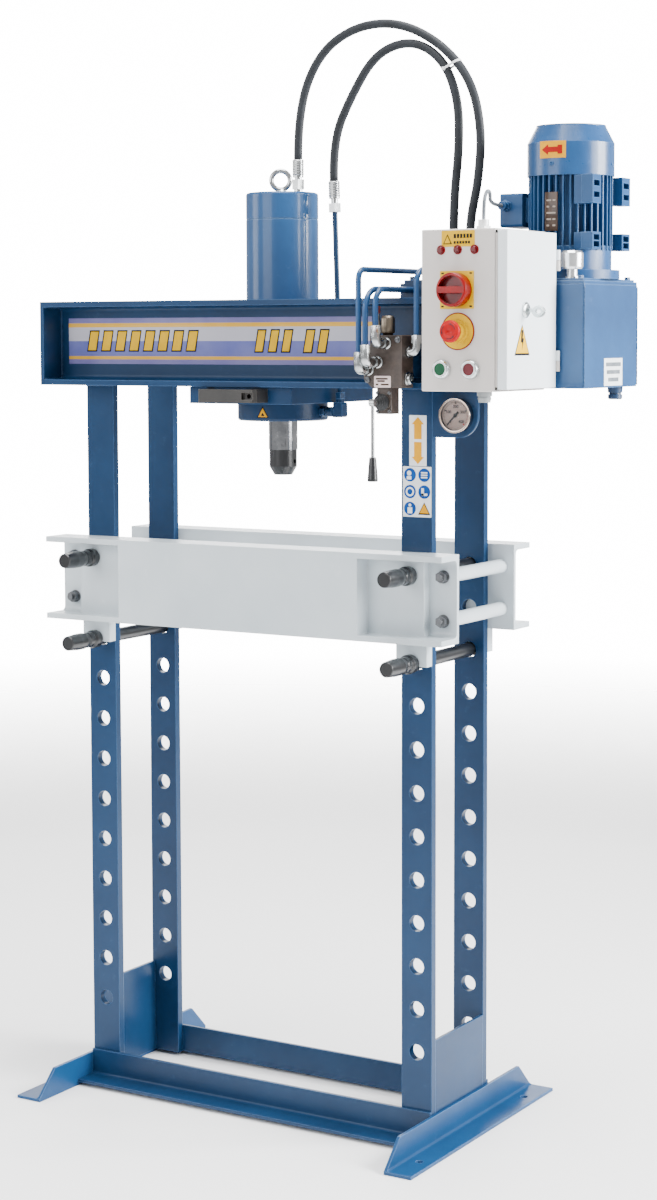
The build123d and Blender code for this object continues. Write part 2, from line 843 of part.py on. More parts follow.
def build_pipes():
    low_z = beam_top + 14.5
    front = -bridge_width / 2
    nut_top = 31.0
    routes = [
        (
            [
                (port_three[0], -port_three[2], port_three[1] + nut_top),
                (port_three[0], -port_three[2], elbow_z),
                (port_three[0], 0, elbow_z),
                (hose_foot_near - 26.0, 0, elbow_z),
            ],
            [18.0, 14.0],
        ),
        (
            [
                (port_two[0], -port_two[2], port_two[1] + nut_top),
                (port_two[0], -port_two[2], low_z),
                (port_two[0], front, low_z),
            ],
            [38.0],
        ),
        (
            [
                (port_one[0], -port_one[2], port_one[1] + nut_top),
                (port_one[0], -port_one[2], low_z),
                (port_one[0], front, low_z),
            ],
            [28.0],
        ),
        (
            [
                (side_riser_x, -valve_mid_y, side_port_z + 29.0),
                (side_riser_x, -valve_mid_y, elbow_z),
                (side_riser_x, -27.0, elbow_z),
            ],
            [26.0],
        ),
    ]
    with BuildPart() as pipes:
        for points, radii in routes:
            tube(pipe_diameter, points, radii)
    finish(pipes, "valve_pipes")


def build_hidden_lines():
    tank_line_z = beam_top - 45.0
    with BuildPart() as hidden:
        for line_y in (30.0, 70.0):
            tube(
                pipe_diameter,
                [
                    (bridge_right - 22.0, line_y, beam_top),
                    (bridge_right - 22.0, line_y, tank_line_z),
                    (tank_left, line_y, tank_line_z),
                ],
                [14.0],
            )
        tube(
            small_pipe,
            [
                (gauge_x, -leg_front_y + 27.0, gauge_z),
                (gauge_x, -leg_front_y + 64.0, gauge_z),
                (gauge_x, -leg_front_y + 64.0, beam_top),
            ],
            [22.0],
        )
    finish(hidden, "hidden_lines")


def build_valve():
    line = (spool_x, -valve_mid_y)
    right = valve_x + 34.0
    left = valve_x - 30.0
    with BuildPart() as body:
        with BuildSketch(Plane.XZ.offset(valve_back_y)):
            Polygon(
                (left, valve_top),
                (right, valve_top),
                (right, valve_bottom),
                (left + 4.0, valve_bottom),
                (left - 12.0, valve_bottom + 14.0),
                (left - 12.0, valve_bottom + 42.0),
                (left, valve_bottom + 50.0),
                align=None,
            )
        extrude(amount=valve_depth)
        fillet(body.edges().filter_by(Axis.Y), 2.5)
        rod(
            7.6 + fit,
            (spool_x, -valve_mid_y, valve_bottom - 1),
            (spool_x, -valve_mid_y, valve_top - 6.0),
            Mode.SUBTRACT,
        )
        for bolt_x, bolt_z in ((right - 8.0, valve_top - 8.0), (left - 5.0, valve_bottom + 14.0)):
            rod(
                4.0,
                (bolt_x, -valve_face_y - 1, bolt_z),
                (bolt_x, -valve_face_y + 8.0, bolt_z),
                Mode.SUBTRACT,
            )
    finish(body, "valve_body")

    with BuildPart() as spool:
        rod(7.6, (*line, valve_bottom + 8.0), (*line, valve_top - 14.0))
        for groove_z in (valve_bottom + 26.0, valve_bottom + 46.0, valve_bottom + 62.0):
            rod(8.0, (*line, groove_z), (*line, groove_z + 6.0), Mode.SUBTRACT)
            rod(5.0, (*line, groove_z), (*line, groove_z + 6.0))
        rod(3.0, (*line, valve_bottom - 14.0), (*line, valve_bottom + 8.0))
    finish(spool, "valve_spool")


def build_lever():
    low = valve_bottom - 46.0
    mid_z = valve_bottom - 25.0
    with BuildPart() as housing:
        block(
            (spool_x - 15.0, spool_x + 15.0),
            (-valve_mid_y - 16.0, -valve_mid_y + 16.0),
            (low, valve_bottom),
        )
        fillet(housing.edges().filter_by(Axis.Z), 4.0)
        rod(
            9.0,
            (spool_x, -valve_mid_y - 17.0, mid_z),
            (spool_x, -valve_mid_y + 9.0, mid_z),
            Mode.SUBTRACT,
        )
        rod(
            5.0,
            (spool_x, -valve_mid_y, mid_z),
            (spool_x, -valve_mid_y, valve_bottom + 1),
            Mode.SUBTRACT,
        )
        rod(9.0, (spool_x, -valve_mid_y - 11.5, mid_z), (spool_x, -valve_mid_y - 6.0, mid_z))
        with Locations((spool_x, -valve_mid_y - 9.0, mid_z)):
            Sphere(5.5 + fit, mode=Mode.SUBTRACT)
        front = -valve_mid_y - 16.0
        rod(14.5, (spool_x, front, mid_z), (spool_x, front - 3.0, mid_z))
        rod(10.5, (spool_x, front + 1.0, mid_z), (spool_x, front - 4.0, mid_z), Mode.SUBTRACT)
    finish(housing, "lever_housing")

    with BuildPart() as boot:
        start_y = -valve_mid_y - 23.0
        turned(
            (spool_x, start_y, mid_z),
            (0, -1, 0),
            [(13.5, 14.0, 3.0), (14.0, 10.5, 4.0), (10.5, 11.5, 2.0), (11.5, 7.5, 5.0), (7.5, 6.0, 3.0)],
        )
        rod(4.0, (spool_x, start_y + 1, mid_z), (spool_x, start_y - 20.0, mid_z), Mode.SUBTRACT)
    finish(boot, "lever_boot")

    eye_y = -valve_mid_y - 54.0
    with BuildPart() as lever:
        rod(3.95, (spool_x, -valve_mid_y - 10.0, mid_z), (spool_x, eye_y, mid_z))
        with Locations((spool_x, -valve_mid_y - 9.0, mid_z)):
            Sphere(5.5)
        rod(6.5, (spool_x - 5.0, eye_y, mid_z), (spool_x + 5.0, eye_y, mid_z))
        rod(3.2, (spool_x, eye_y, mid_z), (spool_x, eye_y, mid_z - 95.0))
    finish(lever, "lever")

    with BuildPart() as knob:
        turned(
            (spool_x, eye_y, mid_z - 95.0),
            (0, 0, -1),
            [(5.8, 6.4, 2.0), (6.4, 9.2, 36.0), (9.2, 9.2, 3.0), (9.2, 8.0, 1.5)],
        )
    finish(knob, "lever_grip")


def build_gauge():
    face = -leg_front_y
    front = face - 16.0
    with BuildPart() as case:
        rod(gauge_diameter / 2, (gauge_x, front, gauge_z), (gauge_x, face, gauge_z))
        rod(gauge_diameter / 2 - 3.0, (gauge_x, face, gauge_z), (gauge_x, face + 18.0, gauge_z))
        rod(
            gauge_diameter / 2 - 3.5,
            (gauge_x, front - 1, gauge_z),
            (gauge_x, front + 7.0, gauge_z),
            Mode.SUBTRACT,
        )
        rod(1.4, (gauge_x, front + 4.8, gauge_z), (gauge_x, front + 7.0, gauge_z))
        hexagon(14.0, (gauge_x, face + 18.0, gauge_z), (gauge_x, face + 27.0, gauge_z))
    finish(case, "gauge_case")

    with BuildPart() as needle:
        middle = front + 4.5
        rod(3.2, (gauge_x, middle, gauge_z), (gauge_x, middle - 1.2, gauge_z))
        with BuildSketch(Plane.XZ.offset(-middle)):
            with Locations(Location((gauge_x, gauge_z), 225.0)):
                Polygon(
                    (-7.0, -1.2),
                    (-7.0, 1.2),
                    (0.0, 1.0),
                    (22.0, 0.25),
                    (22.0, -0.25),
                    (0.0, -1.0),
                    align=None,
                )
        extrude(amount=0.8)
    finish(needle, "gauge_needle")


panel_y = -box_front_y
lamp_z = box_bottom + 239.5
switch_z = box_bottom + 172.0
stop_disc_z = box_bottom + 102.0
button_z = box_bottom + 38.0
button_x = (box_mid_x - 30.5, box_mid_x + 24.5)
switch_x = box_mid_x - 1.5
lock_y = -190.0
lock_z = box_bottom + 138.0
hinge_x = door_right + 1.0
hinge_y = -box_back_y + 3.0
outlet_x = box_mid_x - 8.5
outlet_y = -150.0
outlet_height = 20.0


def build_box():
    top = box_bottom + box_height
    wall = box_wall
    with BuildPart() as shell:
        block((box_left, box_right), (panel_y, -box_back_y), (box_bottom, top))
        fillet(shell.edges().filter_by(Axis.X), 3.0)
        block(
            (box_left + wall, box_right + 1),
            (panel_y + wall, -box_back_y - wall),
            (box_bottom + wall, top - wall),
            Mode.SUBTRACT,
        )
        for centre_x in (box_mid_x - 32.5, box_mid_x - 0.5, box_mid_x + 31.5):
            rod(5.0, (centre_x, panel_y - 1, lamp_z), (centre_x, panel_y + 4, lamp_z), Mode.SUBTRACT)
        for centre_x, height in (
            (switch_x, switch_z),
            (box_mid_x, stop_disc_z),
            (button_x[0], button_z),
            (button_x[1], button_z),
        ):
            rod(11.2, (centre_x, panel_y - 1, height), (centre_x, panel_y + 4, height), Mode.SUBTRACT)
        block(
            (box_left + wall, box_left + wall + 3.0),
            (panel_y + 20.0, -box_back_y - 20.0),
            (box_bottom + 20.0, top - 20.0),
        )
        for unit_z in (box_bottom + 70.0, box_bottom + 150.0):
            block(
                (box_left + wall + 3.0, box_left + wall + 40.0),
                (-170.0, -100.0),
                (unit_z, unit_z + 62.0),
            )
        for inner_y, tip_y in ((panel_y + wall, panel_y + 10.0), (-box_back_y - wall, -box_back_y - 10.0)):
            block((box_right - 8.0, door_left - 1.0), (inner_y, tip_y), (box_bottom + 8.0, top - 8.0))
        for end_z in (box_bottom + 50.0, top - 50.0):
            rod(4.0, (hinge_x, hinge_y, end_z - 18.0), (hinge_x, hinge_y, end_z))
            block((box_right - 14.0, hinge_x), (-box_back_y, hinge_y + 1.5), (end_z - 18.0, end_z))
    finish(shell, "control_box")


def build_door():
    top = box_bottom + box_height
    low = box_bottom + 4.0
    high = top - 3.0
    with BuildPart() as door:
        block((door_left, door_right), (panel_y + 2.0, -box_back_y - 1.0), (low, high))
        outer_face = door.faces().sort_by(Axis.X)[-1]
        fillet(door.edges().filter_by(Axis.X) + outer_face.edges().filter_by(Axis.Z), 2.0)
        block(
            (door_left - 1.0, door_right - 2.5),
            (panel_y + 4.5, -box_back_y - 3.5),
            (low + 2.5, high - 2.5),
            Mode.SUBTRACT,
        )
        rod(9.2, (door_right - 4, lock_y, lock_z), (door_right + 1, lock_y, lock_z), Mode.SUBTRACT)
        for end_z in (box_bottom + 50.0, top - 50.0):
            rod(4.0, (hinge_x, hinge_y, end_z + 0.5), (hinge_x, hinge_y, end_z + 18.0))
            block((door_right - 4.0, hinge_x), (-box_back_y - 1.0, hinge_y), (end_z + 0.5, end_z + 18.0))
    finish(door, "control_door")

    with BuildPart() as lock:
        span_z = (lock_z - 7.0, lock_z + 7.0)
        rod(9.1, (door_right - 9.0, lock_y, lock_z), (door_right, lock_y, lock_z))
        rod(12.0, (door_right, lock_y, lock_z), (door_right + 3.0, lock_y, lock_z))
        rod(6.0, (door_right + 1.0, lock_y, lock_z), (door_right + 4.0, lock_y, lock_z), Mode.SUBTRACT)
        block((door_right, door_right + 4.5), (lock_y - 2.0, lock_y + 2.0), span_z)
        block((door_right - 12.0, door_right - 9.0), (lock_y - 30.0, lock_y + 8.0), span_z)
    finish(lock, "door_lock")


def build_panel():
    with BuildPart() as lamps:
        for centre_x in (box_mid_x - 32.5, box_mid_x - 0.5, box_mid_x + 31.5):
            turned(
                (centre_x, panel_y, lamp_z),
                (0, -1, 0),
                [(6.5, 6.5, 1.5), (5.6, 5.6, 2.5), (5.6, 3.6, 1.5)],
            )
            rod(4.9, (centre_x, panel_y, lamp_z), (centre_x, panel_y + 20.0, lamp_z))
    finish(lamps, "panel_lamps")

    with BuildPart() as yellow:
        half = 32.0
        block(
            (switch_x - half, switch_x + half),
            (panel_y - 2.0, panel_y),
            (switch_z - half, switch_z + half),
        )
        rod(11.0, (switch_x, panel_y, switch_z), (switch_x, panel_y + 30.0, switch_z))
        rod(30.0, (box_mid_x, panel_y, stop_disc_z), (box_mid_x, panel_y - 1.5, stop_disc_z))
        turned(
            (box_mid_x, panel_y - 1.5, stop_disc_z),
            (0, -1, 0),
            [(20.0, 19.0, 4.0), (15.0, 15.0, 10.0)],
        )
        rod(11.0, (box_mid_x, panel_y, stop_disc_z), (box_mid_x, panel_y + 32.0, stop_disc_z))
        rod(
            9.0 + fit,
            (box_mid_x, panel_y - 17.0, stop_disc_z),
            (box_mid_x, panel_y + 12.0, stop_disc_z),
            Mode.SUBTRACT,
        )
    finish(yellow, "panel_escutcheons")


def build_buttons():
    with BuildPart() as knob:
        start_y = panel_y - 2.5
        rod(29.0, (switch_x, start_y, switch_z), (switch_x, start_y - 22.0, switch_z))
        fillet(knob.edges().filter_by(GeomType.CIRCLE).sort_by(Axis.Y)[0], 4.0)
        rod(24.0, (switch_x, start_y - 8.0, switch_z), (switch_x, start_y - 23.0, switch_z), Mode.SUBTRACT)
        block(
            (switch_x - 24.5, switch_x + 24.5),
            (start_y - 22.0, start_y - 7.0),
            (switch_z - 5.5, switch_z + 5.5),
        )
    finish(knob, "switch_knob")

    with BuildPart() as mushroom:
        start_y = panel_y - 23.0
        rod(9.0, (box_mid_x, panel_y + 6.0, stop_disc_z), (box_mid_x, start_y, stop_disc_z))
        turned((box_mid_x, start_y, stop_disc_z), (0, -1, 0), [(17.0, 19.0, 3.0), (19.0, 19.0, 7.0)])
        fillet(mushroom.edges().filter_by(GeomType.CIRCLE).sort_by(Axis.Y)[0], 4.0)
    finish(mushroom, "estop_button")

    for name, centre_x in (("start_button", button_x[0]), ("stop_button", button_x[1])):
        with BuildPart() as button:
            rod(10.5, (centre_x, panel_y + 6.0, button_z), (centre_x, panel_y - 9.0, button_z))
            fillet(button.edges().filter_by(GeomType.CIRCLE).sort_by(Axis.Y)[0], 1.5)
        finish(button, name)


def build_box_fittings():
    top = box_bottom + box_height
    with BuildPart() as trim:
        for centre_x in button_x:
            turned((centre_x, panel_y, button_z), (0, -1, 0), [(14.8, 14.8, 4.0), (14.8, 12.5, 5.0)])
            rod(11.0, (centre_x, panel_y, button_z), (centre_x, panel_y + 30.0, button_z))
            rod(
                10.5 + fit,
                (centre_x, panel_y - 10.0, button_z),
                (centre_x, panel_y + 12.0, button_z),
                Mode.SUBTRACT,
            )
        hexagon(24.0, (outlet_x, outlet_y, top), (outlet_x, outlet_y, top + 9.0))
        rod(9.5, (outlet_x, outlet_y, top + 9.0), (outlet_x, outlet_y, top + outlet_height))
        gland_low = (box_mid_x + 33.0, -225.0, box_bottom)
        turned(gland_low, (0, 0, -1), [(13.0, 13.0, 8.0), (11.0, 11.0, 3.0), (12.0, 10.0, 8.0)])
    finish(trim, "box_fittings")


def build_tank():
    wall = 3.0
    with BuildPart() as tank:
        block((tank_left, tank_right), (tank_front_y, tank_back_y), (tank_bottom, tank_top))
        fillet(tank.edges().filter_by(Axis.Z), 3.0)
        block(
            (tank_left + wall, tank_right - wall),
            (tank_front_y + wall, tank_back_y - wall),
            (tank_bottom + wall, tank_top + 1),
            Mode.SUBTRACT,
        )
    finish(tank, "tank")

    with BuildPart() as lid:
        for inset, low, high in ((1.0, tank_top, lid_top - 4.0), (5.0, lid_top - 4.0, lid_top)):
            block(
                (tank_left + inset, tank_right - inset),
                (tank_front_y + inset, tank_back_y - inset),
                (low, high),
            )
        rod(22.0, (motor_x, motor_y, tank_top - 1), (motor_x, motor_y, lid_top + 1), Mode.SUBTRACT)
        for bolt_x in (tank_left + 14.0, tank_right - 14.0):
            for bolt_y in (tank_front_y + 14.0, tank_back_y - 14.0):
                hexagon(10.0, (bolt_x, bolt_y, lid_top), (bolt_x, bolt_y, lid_top + 5.0))
    finish(lid, "tank_lid")


def build_tank_caps():
    cap_x = motor_x + 45.5
    cap_y = motor_y - 89.0
    drain_x = tank_right - 23.0
    drain_y = tank_back_y - 44.0
    with BuildPart() as caps:
        turned(
            (cap_x, cap_y, lid_top),
            (0, 0, 1),
            [
                (12.0, 12.0, 3.0),
                (10.0, 10.0, 13.0),
                (18.0, 20.0, 4.0),
                (20.0, 20.0, 24.0),
                (20.0, 17.0, 4.0),
            ],
        )
        turned(
            (drain_x, drain_y, tank_bottom),
            (0, 0, -1),
            [(14.0, 13.0, 11.0), (11.0, 11.0, 3.0), (13.0, 13.0, 7.0), (13.0, 11.0, 2.0)],
        )
    finish(caps, "tank_caps")


def build_bell():
    axis = (motor_x, motor_y)
    with BuildPart() as bell:
        rod(bell_flange / 2, (*axis, lid_top), (*axis, lid_top + 16.0))
        rod(bell_diameter / 2, (*axis, lid_top + 16.0), (*axis, body_bottom))
        rod(52.0, (*axis, lid_top + 6.0), (*axis, body_bottom + 1), Mode.SUBTRACT)
        rod(22.0, (*axis, lid_top - 1), (*axis, lid_top + 7.0), Mode.SUBTRACT)
        for side in (-1, 1):
            block(
                (motor_x - 20.0, motor_x + 20.0),
                (motor_y + side * 40.0, motor_y + side * 80.0),
                (lid_top + 20.0, body_bottom - 6.0),
                Mode.SUBTRACT,
            )
    finish(bell, "bell_housing")


def build_motor():
    axis = (motor_x, motor_y)
    with BuildPart() as housing:
        rod(motor_body / 2 - 12.0, (*axis, body_bottom + 8.0), (*axis, body_top))
        rod(bell_diameter / 2, (*axis, body_bottom), (*axis, body_bottom + 8.0))
        for number in range(fin_count):
            angle = 360.0 / fin_count * (number + 0.5)
            spot = Location((motor_x, motor_y, (body_bottom + body_top) / 2), (0, 0, angle))
            with Locations(spot * Location((motor_body / 2 - 9.0, 0, 0))):
                Box(18.0, 2.6, body_top - body_bottom)
        for side in (-1, 1):
            spot_y = motor_y + side * 62.5
            for low, high in ((lid_top + 51.0, lid_top + 81.0), (lid_top + 131.0, lid_top + 181.0)):
                arm = sorted((motor_y + side * 45.5, motor_y + side * 66.0))
                block((motor_x + 38.0, motor_x + 60.0), arm, (low, high))
                block((motor_x + 58.0, motor_x + 80.0), (spot_y - 17.0, spot_y + 17.0), (low, high))
                for slot_z in (low + (high - low) * 0.3, low + (high - low) * 0.7):
                    block(
                        (motor_x + 66.0, motor_x + 81.0),
                        (spot_y - 12.0, spot_y + 12.0),
                        (slot_z - 5.0, slot_z + 5.0),
                        Mode.SUBTRACT,
                    )
        rod(46.0, (*axis, body_bottom + 12.0), (*axis, body_top - 12.0), Mode.SUBTRACT)
        rod(shaft_diameter / 2 + 0.3, (*axis, body_bottom - 1), (*axis, body_top + 1), Mode.SUBTRACT)
    finish(housing, "motor_housing")


def build_fan_cover():
    axis = (motor_x, motor_y)
    skirt_top = cover_top - 32.0
    skirt_low = body_top - 4.0
    with BuildPart() as cover:
        rod(cover_diameter / 2, (*axis, skirt_low), (*axis, skirt_top))
        taper(cover_diameter / 2, 62.0, (*axis, skirt_top), (*axis, cover_top - 2.0))
        rod(62.0, (*axis, cover_top - 2.0), (*axis, cover_top))
        rod(cover_diameter / 2 - 2.0, (*axis, skirt_low - 1), (*axis, skirt_top), Mode.SUBTRACT)
        taper(
            cover_diameter / 2 - 2.0,
            60.0,
            (*axis, skirt_top),
            (*axis, cover_top - 2.0),
            Mode.SUBTRACT,
        )
        for ring_radius, count in ((15.0, 6), (28.0, 12), (41.0, 18), (53.0, 24)):
            for number in range(count):
                angle = radians(360.0 / count * number)
                spot = (motor_x + ring_radius * cos(angle), motor_y + ring_radius * sin(angle))
                rod(3.6, (*spot, cover_top - 3.0), (*spot, cover_top + 1), Mode.SUBTRACT)
    finish(cover, "fan_cover")


def build_rotor():
    axis = (motor_x, motor_y)
    gear_z = tank_top - 55.0
    with BuildPart() as rotor:
        rod(shaft_diameter / 2, (*axis, gear_z - 12.0), (*axis, body_top + 50.0))
        rod(43.0, (*axis, body_bottom + 30.0), (*axis, body_top - 30.0))
        rod(24.0, (*axis, lid_top + 10.0), (*axis, lid_top + 44.0))
        gear(motor_x, motor_y, gear_z, 0.0)
    finish(rotor, "motor_rotor")

    fan_z = body_top + 22.0
    with BuildPart() as fan:
        rod(26.0, (*axis, fan_z), (*axis, fan_z + 18.0))
        for number in range(9):
            spot = Location((motor_x, motor_y, fan_z + 12.0), (0, 0, 40.0 * number))
            with Locations(spot * Location((43.0, 0, 0))):
                Box(42.0, 3.0, 24.0)
        rod(64.0, (*axis, fan_z - 2.0), (*axis, fan_z))
        rod(shaft_diameter / 2 + fit, (*axis, fan_z - 3.0), (*axis, fan_z + 30.0), Mode.SUBTRACT)
    finish(fan, "motor_fan")


def build_terminal_box():
    box_low = body_bottom + 44.0
    box_high = box_low + 60.0
    with BuildPart() as terminal:
        block((motor_x - 118.0, motor_x - 74.0), (motor_y - 45.0, motor_y + 45.0), (box_low, box_high))
        fillet(terminal.edges().filter_by(Axis.X), 5.0)
        block(
            (motor_x - 75.0, motor_x - 60.0),
            (motor_y - 30.0, motor_y + 30.0),
            (box_low + 8.0, box_high - 8.0),
        )
        rod(
            motor_body / 2 + 0.3,
            (motor_x, motor_y, box_low - 5.0),
            (motor_x, motor_y, box_high + 5.0),
            Mode.SUBTRACT,
        )
        hexagon(18.0, (inlet_x, motor_y - 45.0, inlet_z), (inlet_x, motor_y - 53.0, inlet_z))
        rod(8.0, (inlet_x, motor_y - 53.0, inlet_z), (inlet_x, inlet_y, inlet_z))
    finish(terminal, "terminal_box")


def build_motor_cable():
    start_z = box_bottom + box_height + outlet_height
    crest_z = start_z + 51.2
    cable_route = [
        (outlet_x, outlet_y, start_z),
        (outlet_x, outlet_y, start_z + 30.0),
        (outlet_x - 5.4, outlet_y + 20.5, crest_z),
        (outlet_x - 13.1, outlet_y + 49.5, crest_z),
        (inlet_x, inlet_y - 45.0, inlet_z),
        (inlet_x, inlet_y, inlet_z),
    ]
    with BuildPart() as cable:
        tube(cable_diameter, cable_route, bend_radii(cable_route))
    finish(cable, "motor_cable")
    report("motor_cable", bend_radii(cable_route), cable.part.volume, cable_diameter)


def gear(centre_x, centre_y, low, phase):
    rod(gear_spacing / 2 - 2.9, (centre_x, centre_y, low), (centre_x, centre_y, low + 20.0))
    for number in range(8):
        angle = radians(45.0 * number + phase)
        spot_x = centre_x + (gear_spacing / 2 - 1.0) * cos(angle)
        spot_y = centre_y + (gear_spacing / 2 - 1.0) * sin(angle)
        rod(2.6, (spot_x, spot_y, low), (spot_x, spot_y, low + 20.0))


def build_pump():
    gear_z = tank_top - 55.0
    low = gear_z - 18.0
    with BuildPart() as body:
        block(
            (motor_x - 32.0, motor_x + 32.0),
            (motor_y - 32.0, motor_y + gear_spacing + 32.0),
            (low, tank_top),
        )
        for centre_y in (motor_y, motor_y + gear_spacing):
            rod(
                gear_spacing / 2 + 2.0,
                (motor_x, centre_y, gear_z - 0.5),
                (motor_x, centre_y, gear_z + 20.5),
                Mode.SUBTRACT,
            )
        rod(
            shaft_diameter / 2 + 0.3,
            (motor_x, motor_y, gear_z - 12.5),
            (motor_x, motor_y, tank_top + 1),
            Mode.SUBTRACT,
        )
        rod(
            5.0 + fit,
            (motor_x, motor_y + gear_spacing, gear_z - 10.5),
            (motor_x, motor_y + gear_spacing, gear_z + 30.5),
            Mode.SUBTRACT,
        )
        rod(20.0, (motor_x, motor_y + 20.0, tank_bottom + 30.0), (motor_x, motor_y + 20.0, low))
    finish(body, "pump_body")

    axis = (motor_x, motor_y + gear_spacing)
    with BuildPart() as driven:
        gear(*axis, gear_z, 22.5)
        rod(5.0, (*axis, gear_z - 10.0), (*axis, gear_z + 30.0))
    finish(driven, "pump_driven_gear")


def main():
    os.makedirs("parts", exist_ok=True)
    build_legs()
    build_feet()
    build_base_ties()
    build_beams()
    build_frame_brackets()
    build_table()
    build_tie_rods()
    build_pins()
    build_carriage()
    build_carriage_handle()
    build_cylinder()
    build_cylinder_ends()
    build_riser()
    build_fittings_moving()
    build_ram()
    build_hoses()
    build_fixed_fittings()
    build_pipes()
    build_hidden_lines()
    build_valve()
    build_lever()
    build_gauge()
    build_box()
    build_door()
    build_panel()
    build_buttons()
    build_box_fittings()
    build_tank()
    build_tank_caps()
    build_bell()
    build_motor()
    build_fan_cover()
    build_rotor()
    build_terminal_box()
    build_motor_cable()
    build_pump()


main()
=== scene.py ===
import bpy
import bmesh
import math
from mathutils import Matrix, Vector


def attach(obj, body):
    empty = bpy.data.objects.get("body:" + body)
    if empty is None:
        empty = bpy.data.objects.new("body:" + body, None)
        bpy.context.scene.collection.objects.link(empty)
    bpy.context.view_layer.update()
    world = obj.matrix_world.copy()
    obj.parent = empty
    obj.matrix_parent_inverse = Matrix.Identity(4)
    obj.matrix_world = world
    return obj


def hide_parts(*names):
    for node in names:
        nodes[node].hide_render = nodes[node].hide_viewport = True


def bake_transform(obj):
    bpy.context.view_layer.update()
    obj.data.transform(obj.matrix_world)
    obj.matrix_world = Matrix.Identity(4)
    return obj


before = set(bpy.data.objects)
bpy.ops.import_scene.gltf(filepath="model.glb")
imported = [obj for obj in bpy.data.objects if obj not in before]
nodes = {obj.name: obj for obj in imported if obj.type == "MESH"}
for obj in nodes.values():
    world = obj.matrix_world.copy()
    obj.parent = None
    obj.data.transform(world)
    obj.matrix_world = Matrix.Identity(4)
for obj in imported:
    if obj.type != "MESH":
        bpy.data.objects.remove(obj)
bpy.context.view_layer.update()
print("frame loaded:", len(nodes), "nodes")

cameraView = {
    "place": (2.39557, -3.78452, 1.48055),
    "turn": 0.545121,       # radians from straight-on, seen from above
    "dip": 0.083542,
    "roll": -0.0027845,
    "lens": 128.6,
    "shiftY": -0.10604,
}


def makeCamera():
    data = bpy.data.cameras.new("pressCamera")
    data.sensor_fit = "HORIZONTAL"
    data.sensor_width = 36.0
    data.lens = cameraView["lens"]
    data.shift_y = cameraView["shiftY"]
    data.clip_end = 60.0
    camera = bpy.data.objects.new("pressCamera", data)
    turn = Matrix.Rotation(cameraView["turn"], 4, "Z")
    dip = Matrix.Rotation(math.pi / 2 - cameraView["dip"], 4, "X")
    roll = Matrix.Rotation(cameraView["roll"], 4, "Z")
    camera.matrix_world = Matrix.Translation(cameraView["place"]) @ turn @ dip @ roll
    bpy.context.collection.objects.link(camera)
    bpy.context.scene.camera = camera


makeCamera()


class Wire:
    # one output socket of a material; sums on wires add the nodes they need
    def __init__(self, finish, socket):
        self.finish = finish
        self.socket = socket

    def math(self, operation, first, second):
        return self.finish.node("ShaderNodeMath", {"operation": operation}, {0: first, 1: second})

    def __add__(self, other):
        return self.math("ADD", self, other)

    __radd__ = __add__

    def __mul__(self, other):
        return self.math("MULTIPLY", self, other)

    __rmul__ = __mul__

    def __sub__(self, other):
        return self.math("SUBTRACT", self, other)

    def __rsub__(self, other):
        return self.math("SUBTRACT", other, self)

    def wave(self):
        return self.math("SINE", self, 0.0)


class Finish:
    # one material, with one method that adds any node
    def __init__(self, name, **fixed):
        self.material = bpy.data.materials.new(name)
        self.material.use_nodes = True
        self.tree = self.material.node_tree
        self.shader = self.tree.nodes["Principled BSDF"]
        for key, value in fixed.items():
            self.shader.inputs[key.replace("_", " ")].default_value = value
        self.place = self.node("ShaderNodeTexCoord", out="Object")

    def node(self, kind, settings=None, sockets=None, out=0):
        made = self.tree.nodes.new(kind)
        for key, value in (settings or {}).items():
            if key == "stops":
                while len(made.color_ramp.elements) < len(value):
                    made.color_ramp.elements.new(0.5)
                for element, (spot, colour) in zip(made.color_ramp.elements, value):
                    element.position = spot
                    element.color = colour
                made.color_ramp.interpolation = "CONSTANT"      # stops are hard-edged bands
            else:
                setattr(made, key, value)
        for key, value in (sockets or {}).items():
            if isinstance(value, Wire):
                self.tree.links.new(value.socket, made.inputs[key])
            else:
                made.inputs[key].default_value = value
        return Wire(self, made.outputs[out])

    def feed(self, **links):
        for key, wire in links.items():
            self.tree.links.new(wire.socket, self.shader.inputs[key.replace("_", " ")])

    def noise(self, scale, detail=3.0, rough=0.55, place=None):
        sockets = {"Vector": place or self.place, "Scale": scale, "Detail": detail, "Roughness": rough}
        return self.node("ShaderNodeTexNoise", {}, sockets)

    def spread(self, wire, low, high):
        # stretches the part of a wire from low to high over 0 to 1
        return self.node("ShaderNodeMapRange", {}, {"Value": wire, "From Min": low, "From Max": high})

    def blend(self, share, first, second):
        return self.node(
            "ShaderNodeMix", {"data_type": "RGBA"}, {0: share, 6: first, 7: second}, out=2
        )

    def edge(self, radius):
        # soft corner normal and how far it leans from the flat face
        soft = self.node("ShaderNodeBevel", {"samples": 4}, {"Radius": radius})
        flat = self.node("ShaderNodeNewGeometry", out="Normal")
        dot = {"operation": "DOT_PRODUCT"}
        lean = self.node("ShaderNodeVectorMath", dot, {0: soft, 1: flat}, out="Value")
        return soft, self.spread(1.0 - lean, 0.005, 0.12)

    def bump(self, height, strength, distance, normal=None):
        sockets = {"Height": height, "Strength": strength, "Distance": distance}
        if normal:
            sockets["Normal"] = normal
        self.feed(Normal=self.node("ShaderNodeBump", {}, sockets))

    def axis(self, name):
        return self.node("ShaderNodeSeparateXYZ", {}, {0: self.place}, out=name)


def tint(hexText):
    # sRGB hex to the linear colour that shaders use
    values = [int(hexText[k:k + 2], 16) / 255 for k in (0, 2, 4)]
    return tuple(v / 12.92 if v < 0.04045 else ((v + 0.055) / 1.055) ** 2.4 for v in values) + (1.0,)


